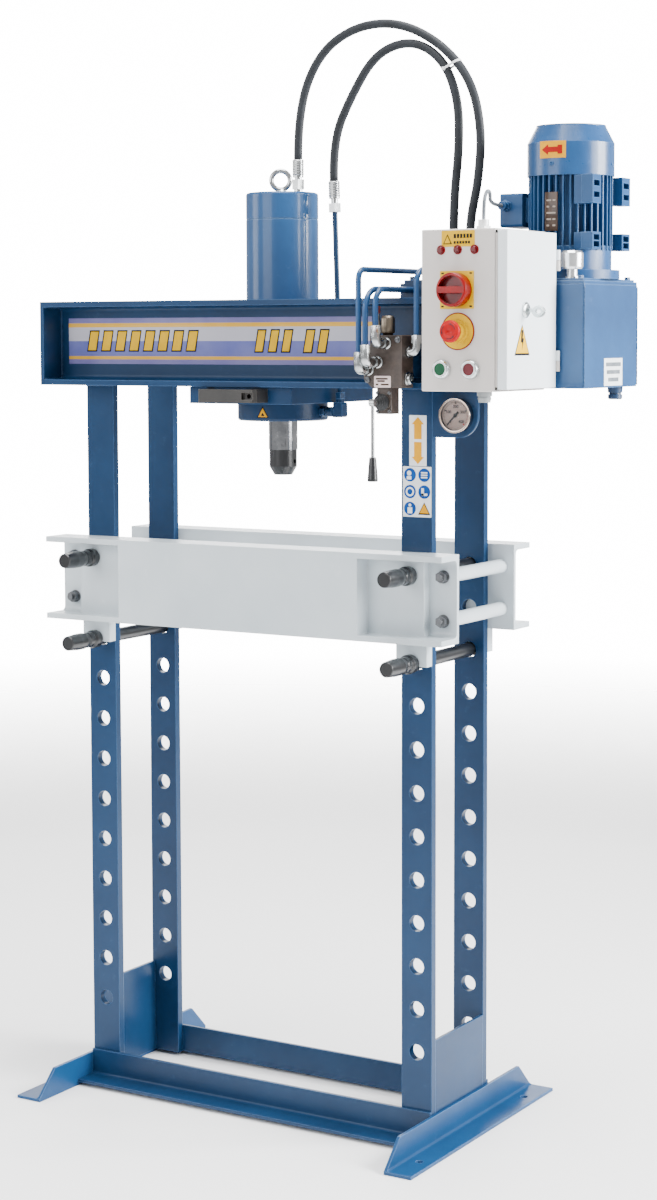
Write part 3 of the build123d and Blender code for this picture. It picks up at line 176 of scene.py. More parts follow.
def paintedSteel(name, look):
    paint = Finish(
        name, Roughness=look["roughness"], Coat_Weight=look["coat"], Coat_Roughness=look["coatRoughness"],
        Specular_IOR_Level=look["specular"],
    )
    soft, edgeMask = paint.edge(look["edge"])
    broad = paint.noise(look["cloud"], 4.0)
    fine = paint.noise(look["grain"], 2.0)
    dust = paint.noise(look["cloud"] * 9.0, 6.0, 0.7)
    colour = paint.blend(paint.spread(broad, 0.35, 0.68), tint(look["deep"]), tint(look["base"]))
    colour = paint.blend(paint.spread(dust, 0.6, 0.8) * look["dust"], colour, tint(look["pale"]))
    # edges blended towards the pale tone: partly paint wear, partly a painted highlight along every edge
    colour = paint.blend(edgeMask * look["wearAndHighlight"], colour, tint(look["pale"]))
    paint.feed(Base_Color=colour, Roughness=paint.spread(dust, 0.2, 0.9) * 0.14 + (look["roughness"] - 0.06))
    paint.bump(fine * 0.6 + broad * 0.4, look["peel"], 0.0006, soft)
    return paint.material


framePaint = {
    "roughness": 0.34, "coat": 0.06, "coatRoughness": 0.2, "specular": 0.22, "edge": 0.0024, "cloud": 5.0,
    "grain": 420.0, "dust": 0.07, "wearAndHighlight": 0.42, "peel": 0.14,
    "deep": "0d2b4a", "base": "123456", "pale": "5f8cc2",
}
tablePaint = {
    "roughness": 0.36, "coat": 0.3, "coatRoughness": 0.2, "specular": 0.4, "edge": 0.0025, "cloud": 3.2,
    "grain": 300.0, "dust": 0.22, "wearAndHighlight": 0.55, "peel": 0.12,
    "deep": "b4bec4", "base": "c6cfd4", "pale": "eef2f4",
}
upperPaint = dict(framePaint, deep="1e4068", base="26507d", pale="86aedd", coat=0.3, coatRoughness=0.12)
footPaint = dict(framePaint, deep="163c63", base="1c4672", pale="6f9dd3")
motorPaint = {
    "roughness": 0.3, "coat": 0.22, "coatRoughness": 0.16, "specular": 0.3, "edge": 0.0014, "cloud": 9.0,
    "grain": 520.0, "dust": 0.1, "wearAndHighlight": 0.4, "peel": 0.35,
    "deep": "1a3f68", "base": "224e7e", "pale": "7fabe0",
}
boxPaint = {
    "roughness": 0.4, "coat": 0.12, "coatRoughness": 0.25, "specular": 0.4, "edge": 0.002, "cloud": 2.4,
    "grain": 900.0, "dust": 0.06, "wearAndHighlight": 0.35, "peel": 0.3,
    "deep": "c3bdb8", "base": "cfcac6", "pale": "f4f4f3",
}
doorPaint = dict(boxPaint, deep="dde5ea", base="e9f0f4", pale="fbfdff")
frameBlue = paintedSteel("frameBlue", framePaint)
upperBlue = paintedSteel("upperBlue", upperPaint)
footBlue = paintedSteel("footBlue", footPaint)
tableWhite = paintedSteel("tableWhite", tablePaint)
motorBlue = paintedSteel("motorBlue", motorPaint)
boxGrey = paintedSteel("boxGrey", boxPaint)
doorWhite = paintedSteel("doorWhite", doorPaint)


def metal(name, look):
    steel = Finish(name, Metallic=1.0)
    stretched = steel.node("ShaderNodeMapping", {}, {"Vector": steel.place, "Scale": look["stretch"]})
    grain = steel.noise(look["grain"], 5.0, 0.6, stretched)
    patch = steel.noise(look["patch"], 4.0, 0.6)
    colour = steel.blend(steel.spread(patch, 0.35, 0.7), tint(look["deep"]), tint(look["base"]))
    soft = None
    if look["edge"]:                                  # 0 for pieces with real chamfers
        soft, edgeMask = steel.edge(look["edge"])
        # edges blended towards the pale tone: partly worn bare metal, partly a painted highlight along the
        # edges
        colour = steel.blend(edgeMask * look["wearAndHighlight"], colour, tint(look["pale"]))
    steel.feed(Base_Color=colour, Roughness=grain * look["scatter"] + look["roughness"])
    steel.bump(grain, look["bump"], 0.0004, soft)
    return steel.material


zincLook = {
    "edge": 0.0, "grain": 700.0, "patch": 26.0, "deep": "a6a9aa", "base": "c6c8c8",
    "scatter": 0.08, "roughness": 0.15, "bump": 0.03, "stretch": (1.0, 1.0, 1.0),
}
chromeLook = dict(zincLook, deep="86888c", base="b4b5b8", scatter=0.1, roughness=0.07, grain=240.0,
                  stretch=(1.0, 1.0, 16.0))
machinedLook = dict(zincLook, deep="77797c", base="9a9c9e", scatter=0.3, roughness=0.25)
oiledLook = dict(zincLook, edge=0.0007, deep="55575a", base="7b7d80", pale="b5b6b8", wearAndHighlight=0.3,
                 scatter=0.25, roughness=0.28)
leverLook = dict(zincLook, scatter=0.02, roughness=0.24, grain=60.0, bump=0.004)
zinc = metal("zincPlate", zincLook)
chrome = metal("hardChrome", chromeLook)
leverSteel = metal("leverSteel", leverLook)
machined = metal("machinedSteel", machinedLook)
oiled = metal("oiledSteel", oiledLook)


def blackening(name, look):
    coat = Finish(name, Coat_Weight=look["coat"], Coat_Roughness=0.18, Specular_IOR_Level=0.5)
    soft, edgeMask = coat.edge(look["edge"])
    cloud = coat.noise(look["cloud"], 5.0, 0.65)
    grain = coat.noise(look["grain"], 4.0, 0.6)
    colour = coat.blend(coat.spread(cloud, 0.3, 0.75), tint(look["deep"]), tint(look["base"]))
    # edges blended towards the pale tone: partly rubbed coating, partly a painted highlight along the edges
    colour = coat.blend(edgeMask * look["wearAndHighlight"], colour, tint(look["pale"]))
    coat.feed(Base_Color=colour, Roughness=grain * look["scatter"] + look["roughness"])
    coat.bump(grain, look["bump"], 0.0006, soft)
    return coat.material


gripBlack = blackening("gripBlack", {
    "coat": 0.3, "edge": 0.001, "cloud": 30.0, "grain": 260.0, "deep": "0b0c0f", "base": "16181b",
    "pale": "55585e", "wearAndHighlight": 0.25, "scatter": 0.2, "roughness": 0.22, "bump": 0.1,
})
handleBlack = blackening("handleBlack", {
    "coat": 0.1, "edge": 0.0012, "cloud": 18.0, "grain": 420.0, "deep": "1d1c1b", "base": "2c2a28",
    "pale": "77736c", "wearAndHighlight": 0.6, "scatter": 0.25, "roughness": 0.35, "bump": 0.12,
})
casting = blackening("valveCasting", {
    "coat": 0.15, "edge": 0.0012, "cloud": 45.0, "grain": 380.0, "deep": "2a211c", "base": "43362e",
    "pale": "7d736a", "wearAndHighlight": 0.5, "scatter": 0.3, "roughness": 0.36, "bump": 0.35,
})
rubber = blackening("bootRubber", {
    "coat": 0.0, "edge": 0.0008, "cloud": 60.0, "grain": 600.0, "deep": "0c0e10", "base": "191b1f",
    "pale": "3d4146", "wearAndHighlight": 0.2, "scatter": 0.2, "roughness": 0.5, "bump": 0.2,
})


def plastic(name, deep, base, roughness=0.3, coat=0.08, speck=0.04):
    shell = Finish(name, Coat_Weight=coat, Coat_Roughness=0.12, Specular_IOR_Level=0.14)
    soft, edgeMask = shell.edge(0.0008)
    cloud = shell.noise(55.0, 3.0)
    grain = shell.noise(1400.0, 2.0)
    shell.feed(
        Base_Color=shell.blend(shell.spread(cloud, 0.3, 0.7), tint(deep), tint(base)),
        Roughness=grain * 0.12 + roughness + edgeMask * 0.08,
    )
    shell.bump(grain, speck, 0.0003, soft)
    return shell.material


signalYellow = plastic("signalYellow", "cfa200", "dcb200")
signalRed = plastic("signalRed", "700003", "8a0205", 0.2, 0.25)
mushroomRed = plastic("mushroomRed", "a00409", "b0070d", 0.34)
keyGreen = plastic("keyGreen", "123f27", "1f5339", 0.36)
keyRed = plastic("keyRed", "4f2226", "672f34", 0.36)
lampRed = plastic("lampRed", "4a040b", "650811", 0.2, 0.3)
tieWhite = plastic("tieWhite", "e8e9ea", "f3f4f5", 0.35, 0.2)
cableGrey = plastic("cableGrey", "5b6167", "757b81", 0.45, 0.1, 0.1)
labelWhite = plastic("labelWhite", "dde1e3", "eceff0", 0.36, 0.2)
labelYellow = plastic("labelYellow", "cfa000", "dcae00", 0.4, 0.0)
labelDark = plastic("labelDark", "0b0a0c", "151416", 0.45, 0.0)
labelBlue = plastic("labelBlue", "003a80", "004a98", 0.4, 0.0)
arrowYellow = plastic("arrowYellow", "d79400", "e0a000", 0.4, 0.0)
arrowRed = plastic("arrowRed", "940900", "a60e02", 0.4, 0.0)
print("finishes mixed")


toFront, toBack, toLeft, toRight, toSky = (0, -1, 0), (0, 1, 0), (-1, 0, 0), (1, 0, 0), (0, 0, 1)


def keep(name, shape, finish, body="frame", smooth=False):
    # turns a bmesh into a finished piece that rides on one body
    mesh = bpy.data.meshes.new(name)
    bmesh.ops.recalc_face_normals(shape, faces=shape.faces)
    shape.to_mesh(mesh)
    shape.free()
    mesh.materials.append(finish)
    for face in mesh.polygons:
        face.use_smooth = smooth
    piece = bpy.data.objects.new(name, mesh)
    bpy.context.collection.objects.link(piece)
    if body:
        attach(piece, body)
    return piece


def skin(shape, rings, closed=False):
    # joins rows of points, each row a closed ring, into a surface
    rows = [[shape.verts.new(point) for point in ring] for ring in rings]
    pairs = list(zip(rows, rows[1:]))
    if closed:
        pairs.append((rows[-1], rows[0]))
    for low, high in pairs:
        count = len(low)
        for k in range(count):
            shape.faces.new((low[k], low[(k + 1) % count], high[(k + 1) % count], high[k]))
    if not closed:
        shape.faces.new(reversed(rows[0]))
        shape.faces.new(rows[-1])


def sideAxes(direction):
    direction = Vector(direction).normalized()
    helper = Vector((0, 0, 1)) if abs(direction.z) < 0.9 else Vector((1, 0, 0))
    side = direction.cross(helper).normalized()
    return side, direction.cross(side).normalized()


def turnOn(shape, centre, direction, profile, steps=40, closed=False):
    # lathe: profile is a list of (distance along the axis, radius)
    centre = Vector(centre)
    direction = Vector(direction).normalized()
    side, up = sideAxes(direction)
    rings = []
    for along, radius in profile:
        rings.append([
            centre + direction * along + (side * math.cos(t) + up * math.sin(t)) * radius
            for t in (2 * math.pi * k / steps for k in range(steps))
        ])
    skin(shape, rings, closed=closed)


def turned(name, finish, centre, direction, profile, steps=40, closed=False, body="frame", smooth=True):
    # one turned piece on its own
    shape = bmesh.new()
    turnOn(shape, centre, direction, profile, steps, closed)
    return keep(name, shape, finish, body, smooth)


def tubeOn(shape, points, radius, steps=16, swell=None):
    # tube along a dense line, its frame carried from point to point
    points = [Vector(point) for point in points]
    side, up = sideAxes(points[1] - points[0])
    rings = []
    for k, point in enumerate(points):
        ahead = (points[min(k + 1, len(points) - 1)] - points[max(k - 1, 0)]).normalized()
        side = (side - ahead * side.dot(ahead)).normalized()
        up = ahead.cross(side)
        size = radius * (swell(k) if swell else 1.0)
        rings.append([
            point + (side * math.cos(t) + up * math.sin(t)) * size
            for t in (2 * math.pi * j / steps for j in range(steps))
        ])
    skin(shape, rings)


def slabOn(shape, outline, origin, across, upward, lift):
    # thin prism of a flat outline; across and upward span its plane
    origin, across, upward = Vector(origin), Vector(across), Vector(upward)
    out = across.cross(upward).normalized() * lift
    base = [origin + across * x + upward * y for x, y in outline]
    skin(shape, [base, [point + out for point in base]])


def blockOn(shape, low, high):
    x, y = (low[0], high[0]), (low[1], high[1])
    ring = [(x[0], y[0]), (x[1], y[0]), (x[1], y[1]), (x[0], y[1])]
    skin(shape, [[Vector((a, b, z)) for a, b in ring] for z in (low[2], high[2])])


def wrapOn(shape, centre, radius, turns, heights, lift, columns=14):
    # patch bent round an upright cylinder; turns in degrees from +X
    rings = []
    for k in range(columns + 1):
        share = k / columns
        angle = math.radians(turns[0] + share * (turns[1] - turns[0]))
        low, high = (z(share) if callable(z) else z for z in heights)
        spots = [(radius, low), (radius, high), (radius + lift, high), (radius + lift, low)]
        rings.append([
            Vector((centre[0] + r * math.cos(angle), centre[1] + r * math.sin(angle), z)) for r, z in spots
        ])
    skin(shape, rings)


def soften(piece, width, segments=2, angle=35.0):
    rounding = piece.modifiers.new("soften", "BEVEL")
    rounding.width = width
    rounding.segments = segments
    rounding.limit_method = "ANGLE"
    rounding.angle_limit = math.radians(angle)
    for face in piece.data.polygons:
        face.use_smooth = True


hoses = {
    "hose_cap": {
        "points": [
            (0.036, 0, 1.807), (0.036, 0, 1.899), (0.081, 0, 2.000), (0.16, 0, 2.046), (0.253, 0, 2.048),
            (0.34, 0, 2.005), (0.403, 0, 1.936), (0.425, 0, 1.845), (0.418, 0, 1.752), (0.402, 0, 1.688),
            (0.402, 0, 1.658),
        ],
        "diameter": 0.016, "length": 0.849, "follows": (0.045, 0.393),
    },
    "hose_riser": {
        "points": [
            (0.1147, 0, 1.764), (0.1123, 0, 1.8389), (0.154, 0, 1.922), (0.206, 0, 1.995),
            (0.282, 0, 2.014), (0.346, 0, 1.976), (0.377, 0, 1.903), (0.379, 0, 1.815), (0.368, 0, 1.72),
            (0.368, 0, 1.658),
        ],
        "diameter": 0.016, "length": 0.724, "follows": (0.125, 0.359),
    },
}
cable = {
    "points": [
        (0.507, -0.15, 1.6765), (0.507, -0.15, 1.7065), (0.5016, -0.1295, 1.7277),
        (0.4939, -0.1005, 1.7277), (0.47, -0.055, 1.708), (0.47, -0.01, 1.708),
    ],
    "diameter": 0.0065, "length": 0.186,
}


def routeCurve(name, points):
    data = bpy.data.curves.new(name, "CURVE")
    data.dimensions = "3D"
    data.resolution_u = 14
    spline = data.splines.new("NURBS")
    spline.points.add(len(points) - 1)
    for spot, point in zip(spline.points, points):
        spot.co = (*point, 1.0)
    spline.order_u = 3
    spline.use_endpoint_u = True
    return data


def centreLine(name, points):
    holder = bpy.data.objects.new(name + "Line", routeCurve(name + "Line", points))
    bpy.context.collection.objects.link(holder)
    bpy.context.view_layer.update()
    line = bpy.data.meshes.new_from_object(holder)
    spots = [vertex.co.copy() for vertex in line.vertices]
    bpy.data.objects.remove(holder)
    bpy.data.meshes.remove(line)
    return spots


def hoseFinish():
    hose = Finish("hoseCover", Sheen_Weight=0.06, Sheen_Roughness=0.5, Specular_IOR_Level=0.25)
    cloud = hose.noise(28.0, 5.0, 0.7)
    weave = hose.noise(900.0, 2.0, 0.6)
    rub = hose.noise(140.0, 4.0, 0.7)
    wrap = (hose.axis("Z") * 900.0 + hose.axis("X") * 520.0 + cloud * 3.0).wave()
    colour = hose.blend(hose.spread(cloud, 0.3, 0.75), tint("1b1e22"), tint("2a2e33"))
    colour = hose.blend(hose.spread(rub, 0.62, 0.8) * 0.35, colour, tint("444b52"))
    hose.feed(Base_Color=colour, Roughness=weave * 0.25 + 0.45)
    hose.bump(weave * 0.6 + wrap * 0.12, 0.25, 0.0006)
    return hose.material


hoseCover = hoseFinish()


def makeHoses():
    for name, facts in hoses.items():
        line = centreLine(name, facts["points"])
        shape = bmesh.new()
        tubeOn(shape, line, facts["diameter"] / 2, 24)
        hose = keep(name + "Tube", shape, hoseCover, None, True)
        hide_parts(name)
        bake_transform(hose)


def makeCable():
    data = routeCurve("motorCable", cable["points"])
    data.bevel_depth = cable["diameter"] / 2
    data.bevel_resolution = 5
    data.materials.append(cableGrey)
    piece = bpy.data.objects.new("motorCable", data)
    bpy.context.collection.objects.link(piece)
    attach(piece, "frame")
    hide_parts("motor_cable")


makeHoses()
makeCable()


hoseTie = {"middle": (0.364, 0.0, 1.9632), "along": (0.893, 0.0, 0.45), "half": 0.01, "radius": 0.0088,
           "width": 0.0042, "strap": 0.0011}


def makeHoseTie():
    middle, along = Vector(hoseTie["middle"]), Vector(hoseTie["along"]).normalized()
    upright = Vector((-along.z, 0, along.x))
    shape = bmesh.new()
    rings = []
    steps = 22
    for k in range(2 * steps):
        end = 1 if k < steps else -1
        angle = -math.pi / 2 + math.pi * (k % steps) / (steps - 1)
        out = (along * math.cos(angle) * end + Vector((0, 1, 0)) * math.sin(angle) * end)
        spot = middle + along * end * hoseTie["half"] + out * hoseTie["radius"]
        wide = upright * hoseTie["width"] / 2
        thick = out * hoseTie["strap"]
        rings.append([spot - wide, spot + wide, spot + wide + thick, spot - wide + thick])
    skin(shape, rings, closed=True)
    head = middle - along * (hoseTie["half"] + 0.004) + Vector((0, -0.0085, 0))
    blockOn(shape, head - Vector((0.003, 0.003, 0.003)), head + Vector((0.003, 0.003, 0.003)))
    soften(keep("hoseTie", shape, tieWhite), 0.0004)


makeHoseTie()
print("hoses, cable and tie laid")


def dress(finish, *names):
    for name in names:
        node = nodes[name]
        if node.material_slots:
            for slot in node.material_slots:
                slot.material = finish
        else:
            node.data.materials.append(finish)


def zoned(name, low, high, height, span=0.002):
    # two plain finishes on one node, parted at a height
    parts = Finish(name, Coat_Weight=0.2, Coat_Roughness=0.15)
    above = parts.spread(parts.axis("Z"), height - span, height + span)
    grain = parts.noise(500.0, 4.0, 0.6)
    cloud = parts.noise(50.0, 3.0)
    lower = parts.blend(cloud, tint(low["deep"]), tint(low["base"]))
    upper = parts.blend(cloud, tint(high["deep"]), tint(high["base"]))
    parts.feed(
        Base_Color=parts.blend(above, lower, upper),
        Metallic=above * (high["metal"] - low["metal"]) + low["metal"],
        Roughness=above * (high["rough"] - low["rough"]) + grain * 0.1 + (low["rough"] - 0.05),
    )
    parts.bump(grain, 0.08, 0.0004, parts.edge(0.001)[0])
    return parts.material


bluePart = {"deep": "0d2b4a", "base": "123456", "metal": 0.0, "rough": 0.42}
greyPart = {"deep": "7d8284", "base": "95999b", "metal": 0.0, "rough": 0.45}
whitePart = {"deep": "d9dbdc", "base": "eceeee", "metal": 0.1, "rough": 0.3}
brightPart = {"deep": "d2d4d6", "base": "eeeff0", "metal": 0.85, "rough": 0.2}

dress(frameBlue, "legs", "base_ties", "beam_front", "beam_back", "frame_brackets", "carriage_plate",
      "gland_ring", "riser_pipe", "hidden_lines")
dress(upperBlue, "cylinder_barrel", "cylinder_cap", "tank", "tank_lid", "valve_pipes")
dress(footBlue, "feet")
dress(motorBlue, "fan_cover", "bell_housing")
dress(footBlue, "motor_housing", "terminal_box")
dress(tableWhite, "table_front", "table_back", "tie_tubes")
dress(boxGrey, "control_box")
dress(doorWhite, "control_door")
dress(leverSteel, "lever")
dress(zinc, "cylinder_fittings", "door_lock", "pump_body", "eye_bolt")
dress(zoned("tankCaps", bluePart, brightPart, 1.5), "tank_caps")
dress(zoned("boxFittings", greyPart, whitePart, 1.4), "box_fittings")
dress(chrome, "piston_rod", "gauge_case")
dress(machined, "piston", "valve_spool", "motor_rotor", "pump_driven_gear")
dress(oiled, "tie_bolts")
dress(gripBlack, "pin_upper_left", "pin_upper_right", "pin_lower_left", "pin_lower_right", "lever_grip",
      "ram_tip")
dress(handleBlack, "carriage_handle", "motor_fan")
dress(casting, "valve_body", "lever_housing")
dress(signalYellow, "panel_escutcheons")
dress(signalRed, "switch_knob")
dress(mushroomRed, "estop_button")
dress(keyGreen, "start_button")
dress(keyRed, "stop_button")
dress(lampRed, "panel_lamps")
print("frame dressed")


# printed panels and stickers; every pattern on them is plain shapes
def stripedVinyl(look):
    vinyl = Finish("beamStripes", Coat_Weight=0.25, Coat_Roughness=0.25, Specular_IOR_Level=0.3)
    low, high = look["heights"]
    share = vinyl.spread(vinyl.axis("Z"), low, high)
    bands = vinyl.node(
        "ShaderNodeValToRGB",
        {"stops": [(spot, tint(shade)) for spot, shade in look["bands"]]},
        {0: share},
    )
    cloud = vinyl.noise(9.0, 4.0)
    grain = vinyl.noise(600.0, 3.0)
    vinyl.feed(
        Base_Color=vinyl.blend(vinyl.spread(cloud, 0.35, 0.8) * 0.1, bands, tint("f0f0f0")),
        Roughness=grain * 0.15 + 0.3,
    )
    vinyl.bump(grain, 0.05, 0.0003)
    return vinyl.material


beamBand = {
    "left": -0.42, "right": 0.264, "heights": (1.4237, 1.5117), "face": -0.116, "lift": 0.0003,
    "bands": [
        (0.0, "5f5b95"), (0.1, "cf9c00"), (0.17, "4d5399"), (0.5, "a8a7b2"), (0.8, "cf9c00"),
        (0.89, "5f5b95"),
    ],
    # rows of slanted blocks: left end, right end, low, high, how many
    "blocks": [
        (-0.377, -0.112, 1.45, 1.486, 8), (0.01, 0.098, 1.4485, 1.487, 3),
        (0.116, 0.176, 1.4475, 1.487, 2),
    ],
    "slant": 0.2, "gap": 0.22, "rim": 0.0026,
}


def makeBeamBand():
    facts = beamBand
    low, high = facts["heights"]
    front = facts["face"] - facts["lift"]
    shape = bmesh.new()
    blockOn(shape, (facts["left"], front, low), (facts["right"], facts["face"], high))
    keep("beamStripes", shape, stripedVinyl(facts))
    dark, bright = bmesh.new(), bmesh.new()
    for left, right, bottom, top, count in facts["blocks"]:
        step = (right - left) / count
        lean = (top - bottom) * facts["slant"]
        for k in range(count):
            for shape, rim, lift in ((dark, facts["rim"], 0.00018), (bright, 0.0, 0.00036)):
                x0 = left + step * k + step * facts["gap"] / 2 - rim
                x1 = left + step * (k + 1) - step * facts["gap"] / 2 + rim - lean
                z0, z1 = bottom - rim, top + rim
                outline = [(x0, z0), (x1, z0), (x1 + lean, z1), (x0 + lean, z1)]
                slabOn(shape, outline, (0, front, 0), toRight, toSky, lift)
    keep("beamBlockRims", dark, labelDark)
    keep("beamBlocks", bright, labelYellow)


def flat(shape, face, outline, lift):
    slabOn(shape, outline, (0, face, 0), toRight, toSky, lift)


def plate(shape, face, x, z, lift, corner=0.0015):
    # flat label on a face that looks towards the front
    outline = []
    for cx, cz, start in ((x[1] - corner, z[1] - corner, 0), (x[0] + corner, z[1] - corner, 90),
                          (x[0] + corner, z[0] + corner, 180), (x[1] - corner, z[0] + corner, 270)):
        for k in range(5):
            turn = math.radians(start + 22.5 * k)
            outline.append((cx + corner * math.cos(turn), cz + corner * math.sin(turn)))
    flat(shape, face, outline, lift)


def disc(shape, face, x, z, radius, lift, steps=36):
    outline = [
        (x + radius * math.cos(2 * math.pi * k / steps), z + radius * math.sin(2 * math.pi * k / steps))
        for k in range(steps)
    ]
    flat(shape, face, outline, lift)


def sideSticker(name, finish, face, outline, lift, body="frame"):
    # one flat outline on a face that looks to the right
    shape = bmesh.new()
    slabOn(shape, outline, (face, 0, 0), toBack, toSky, lift)
    keep(name, shape, finish, body)


legSign = {
    "face": -0.1085, "arrows": ((0.3365, 0.372), (1.244, 1.335)),
    "discs": ((0.3235, 0.382), (1.152, 1.243)),
    # plain dots, holes and bars, disc by disc
    "marks": [
        [("dot", -0.0015, 0.003, 0.0045, 0), ("bar", -0.0065, 0.003, -0.0085, -0.0025)],
        [("bar", -0.0065, 0.0065, 0.003, 0.0055), ("bar", -0.0065, 0.0065, -0.0012, 0.0012),
         ("bar", -0.0065, 0.0065, -0.0055, -0.003)],
        [("dot", 0.0, 0.0, 0.0085, 0), ("hole", 0.0, 0.0, 0.0052, 0)],
        [("bar", -0.006, -0.0005, -0.0065, 0.007), ("bar", -0.006, 0.0065, -0.0068, -0.0025)],
        [("dot", 0.0, 0.0062, 0.0028, 0), ("bar", -0.0048, 0.0048, -0.0088, 0.0022)],
    ],
}


def makeLegSigns():
    face = legSign["face"]
    (x0, x1), (z0, z1) = legSign["arrows"]
    white, yellow, blue, dark = bmesh.new(), bmesh.new(), bmesh.new(), bmesh.new()
    plate(white, face, (x0, x1), (z0, z1), 0.0003)
    middle, wide = (x0 + x1) / 2, 0.0125
    for tip, tail in ((z1 - 0.003, z1 - 0.043), (z0 + 0.003, z0 + 0.043)):
        neck = tip + (tail - tip) * 0.33
        left, right = middle - wide * 0.62, middle + wide * 0.62
        outline = [(middle, tip), (middle - wide, neck), (left, neck), (left, tail), (right, tail),
                   (right, neck), (middle + wide, neck)]
        flat(yellow, face - 0.0003, outline if tip > tail else outline[::-1], 0.00025)
    (x0, x1), (z0, z1) = legSign["discs"]
    plate(white, face, (x0, x1), (z0, z1), 0.0003)
    pitchX, pitchZ = (x1 - x0) / 2, (z1 - z0) / 3
    for row in range(3):
        for column in range(2):
            cx = x0 + pitchX * (column + 0.5)
            cz = z1 - pitchZ * (row + 0.5)
            if row == 2 and column == 1:
                for shape, size, lift in ((dark, 0.0125, 0.00025), (yellow, 0.0095, 0.00045)):
                    foot = cz - size * 0.85
                    outline = [(cx - size, foot), (cx + size, foot), (cx, cz + size * 0.95)]
                    flat(shape, face - 0.0003, outline, lift)
                continue
            disc(blue, face - 0.0003, cx, cz, 0.0122, 0.00025)
            for kind, a, b, c, e in legSign["marks"][row * 2 + column]:
                if kind == "dot":
                    disc(white, face - 0.00055, cx + a, cz + b, c, 0.0002, 20)
                elif kind == "hole":
                    disc(blue, face - 0.00075, cx + a, cz + b, c, 0.0002, 20)
                else:
                    plate(white, face - 0.00055, (cx + a, cx + b), (cz + c, cz + e), 0.0002, 0.0008)
    keep("legSignPlates", white, labelWhite)
    keep("legSignArrows", yellow, arrowYellow)
    keep("legSignDiscs", blue, labelBlue)
    keep("legSignEdge", dark, labelDark)


boxSign = {
    "face": -0.26, "plate": ((0.484, 0.5475), (1.6265, 1.654)), "triangle": (0.4955, 1.6395, 0.0085),
    "rows": [(1.641, 1.648, 0.544), (1.6315, 1.636, 0.54)],      # low, high, right end
    "barStart": 0.5075, "bars": 6, "barShare": 0.72,
}


def makeBoxSign():
    face = boxSign["face"]
    yellow, dark = bmesh.new(), bmesh.new()
    plate(yellow, face, *boxSign["plate"], 0.0003)
    cx, cz, size = boxSign["triangle"]
    flat(dark, face - 0.0003, [(cx - size, cz - size), (cx + size, cz - size), (cx, cz + size)], 0.0002)
    left, right, foot = cx - size * 0.7, cx + size * 0.7, cz - size * 0.82
    flat(yellow, face - 0.0005, [(left, foot), (right, foot), (cx, cz + size * 0.62)], 0.0002)
    start = boxSign["barStart"]
    for low, high, end in boxSign["rows"]:
        step = (end - start) / boxSign["bars"]
        for k in range(boxSign["bars"]):
            span = (start + step * k, start + step * (k + boxSign["barShare"]))
            plate(dark, face - 0.0003, span, (low, high), 0.0002, 0.0006)
    keep("boxSignPlate", yellow, labelYellow)
    keep("boxSignBars", dark, labelDark)


doorSign = {
    "face": 0.608, "middle": (-0.2025, 1.4695), "rimHalf": 0.0285, "half": 0.0245, "tall": 0.93,
    "mark": [
        (-0.206, 1.486), (-0.1985, 1.486), (-0.2015, 1.472), (-0.1965, 1.472), (-0.2035, 1.452),
        (-0.2025, 1.465), (-0.208, 1.465),
    ],
}


def makeDoorSign():
    y, z = doorSign["middle"]
    for name, finish, half, lift in (
        ("doorSignRim", labelDark, doorSign["rimHalf"], 0.0003),
        ("doorSign", labelYellow, doorSign["half"], 0.0005),
    ):
        tall = half * doorSign["tall"]
        outline = [(y - half, z - tall), (y + half, z - tall), (y, z + tall)]
        sideSticker(name, finish, doorSign["face"], outline, lift, "door")
    sideSticker("doorSignMark", labelDark, doorSign["face"] + 0.0005, doorSign["mark"][::-1], 0.0002, "door")


valveSign = {
    "face": -0.22, "plate": ((0.3285, 0.362), (1.3865, 1.407)), "barTall": 0.0028,
    "bars": [(0.332, 0.356, 1.4005), (0.335, 0.35, 1.3965), (0.332, 0.337, 1.3905), (0.342, 0.358, 1.3905)],
}


def makeValveSign():
    face = valveSign["face"]
    white, dark = bmesh.new(), bmesh.new()
    plate(white, face, *valveSign["plate"], 0.0003)
    for left, right, low in valveSign["bars"]:
        plate(dark, face - 0.0003, (left, right), (low, low + valveSign["barTall"]), 0.0002, 0.0005)
    keep("valveSign", white, pinkPaper)
    keep("valveSignBars", dark, bronze)


tankSign = {
    "face": 0.657, "across": (0.023, 0.101), "heights": (1.387, 1.436), "firstBar": 1.425, "pitch": 0.0135,
    "barHalf": 0.0035, "bars": [(0.03, 0.094), (0.034, 0.09), (0.04, 0.084)],
}


def makeTankSign():
    left, right = tankSign["across"]
    low, high = tankSign["heights"]
    outline = [(left, low), (right, low), (right, high), (left, high)]
    sideSticker("tankSign", labelWhite, tankSign["face"], outline, 0.0003)
    shape = bmesh.new()
    half = tankSign["barHalf"]
    for row, (a, b) in enumerate(tankSign["bars"]):
        z = tankSign["firstBar"] - tankSign["pitch"] * row
        outline = [(a, z - half), (b, z - half), (b, z + half), (a, z + half)]
        slabOn(shape, outline, (tankSign["face"] + 0.0003, 0, 0), toBack, toSky, 0.0002)
    keep("tankSignBars", shape, cableGrey)


motorSigns = {
    # turns are in degrees round the motor's axis, from +X
    "axis": (0.576, 0.053), "plate": (0.0752, (-101, -82), (1.66, 1.728)),
    "firstBar": 1.668, "barPitch": 0.011, "barTall": 0.003,
    "arrow": (0.0775, (-109, -71), (1.787, 1.817)), "arrowMiddle": 1.802,
}


def arrowHalf(share):
    # half height along the arrow: head, shaft and wider tail
    if share < 0.34:
        return 0.0095 * share / 0.34
    return 0.0045 if share < 0.8 else 0.0075


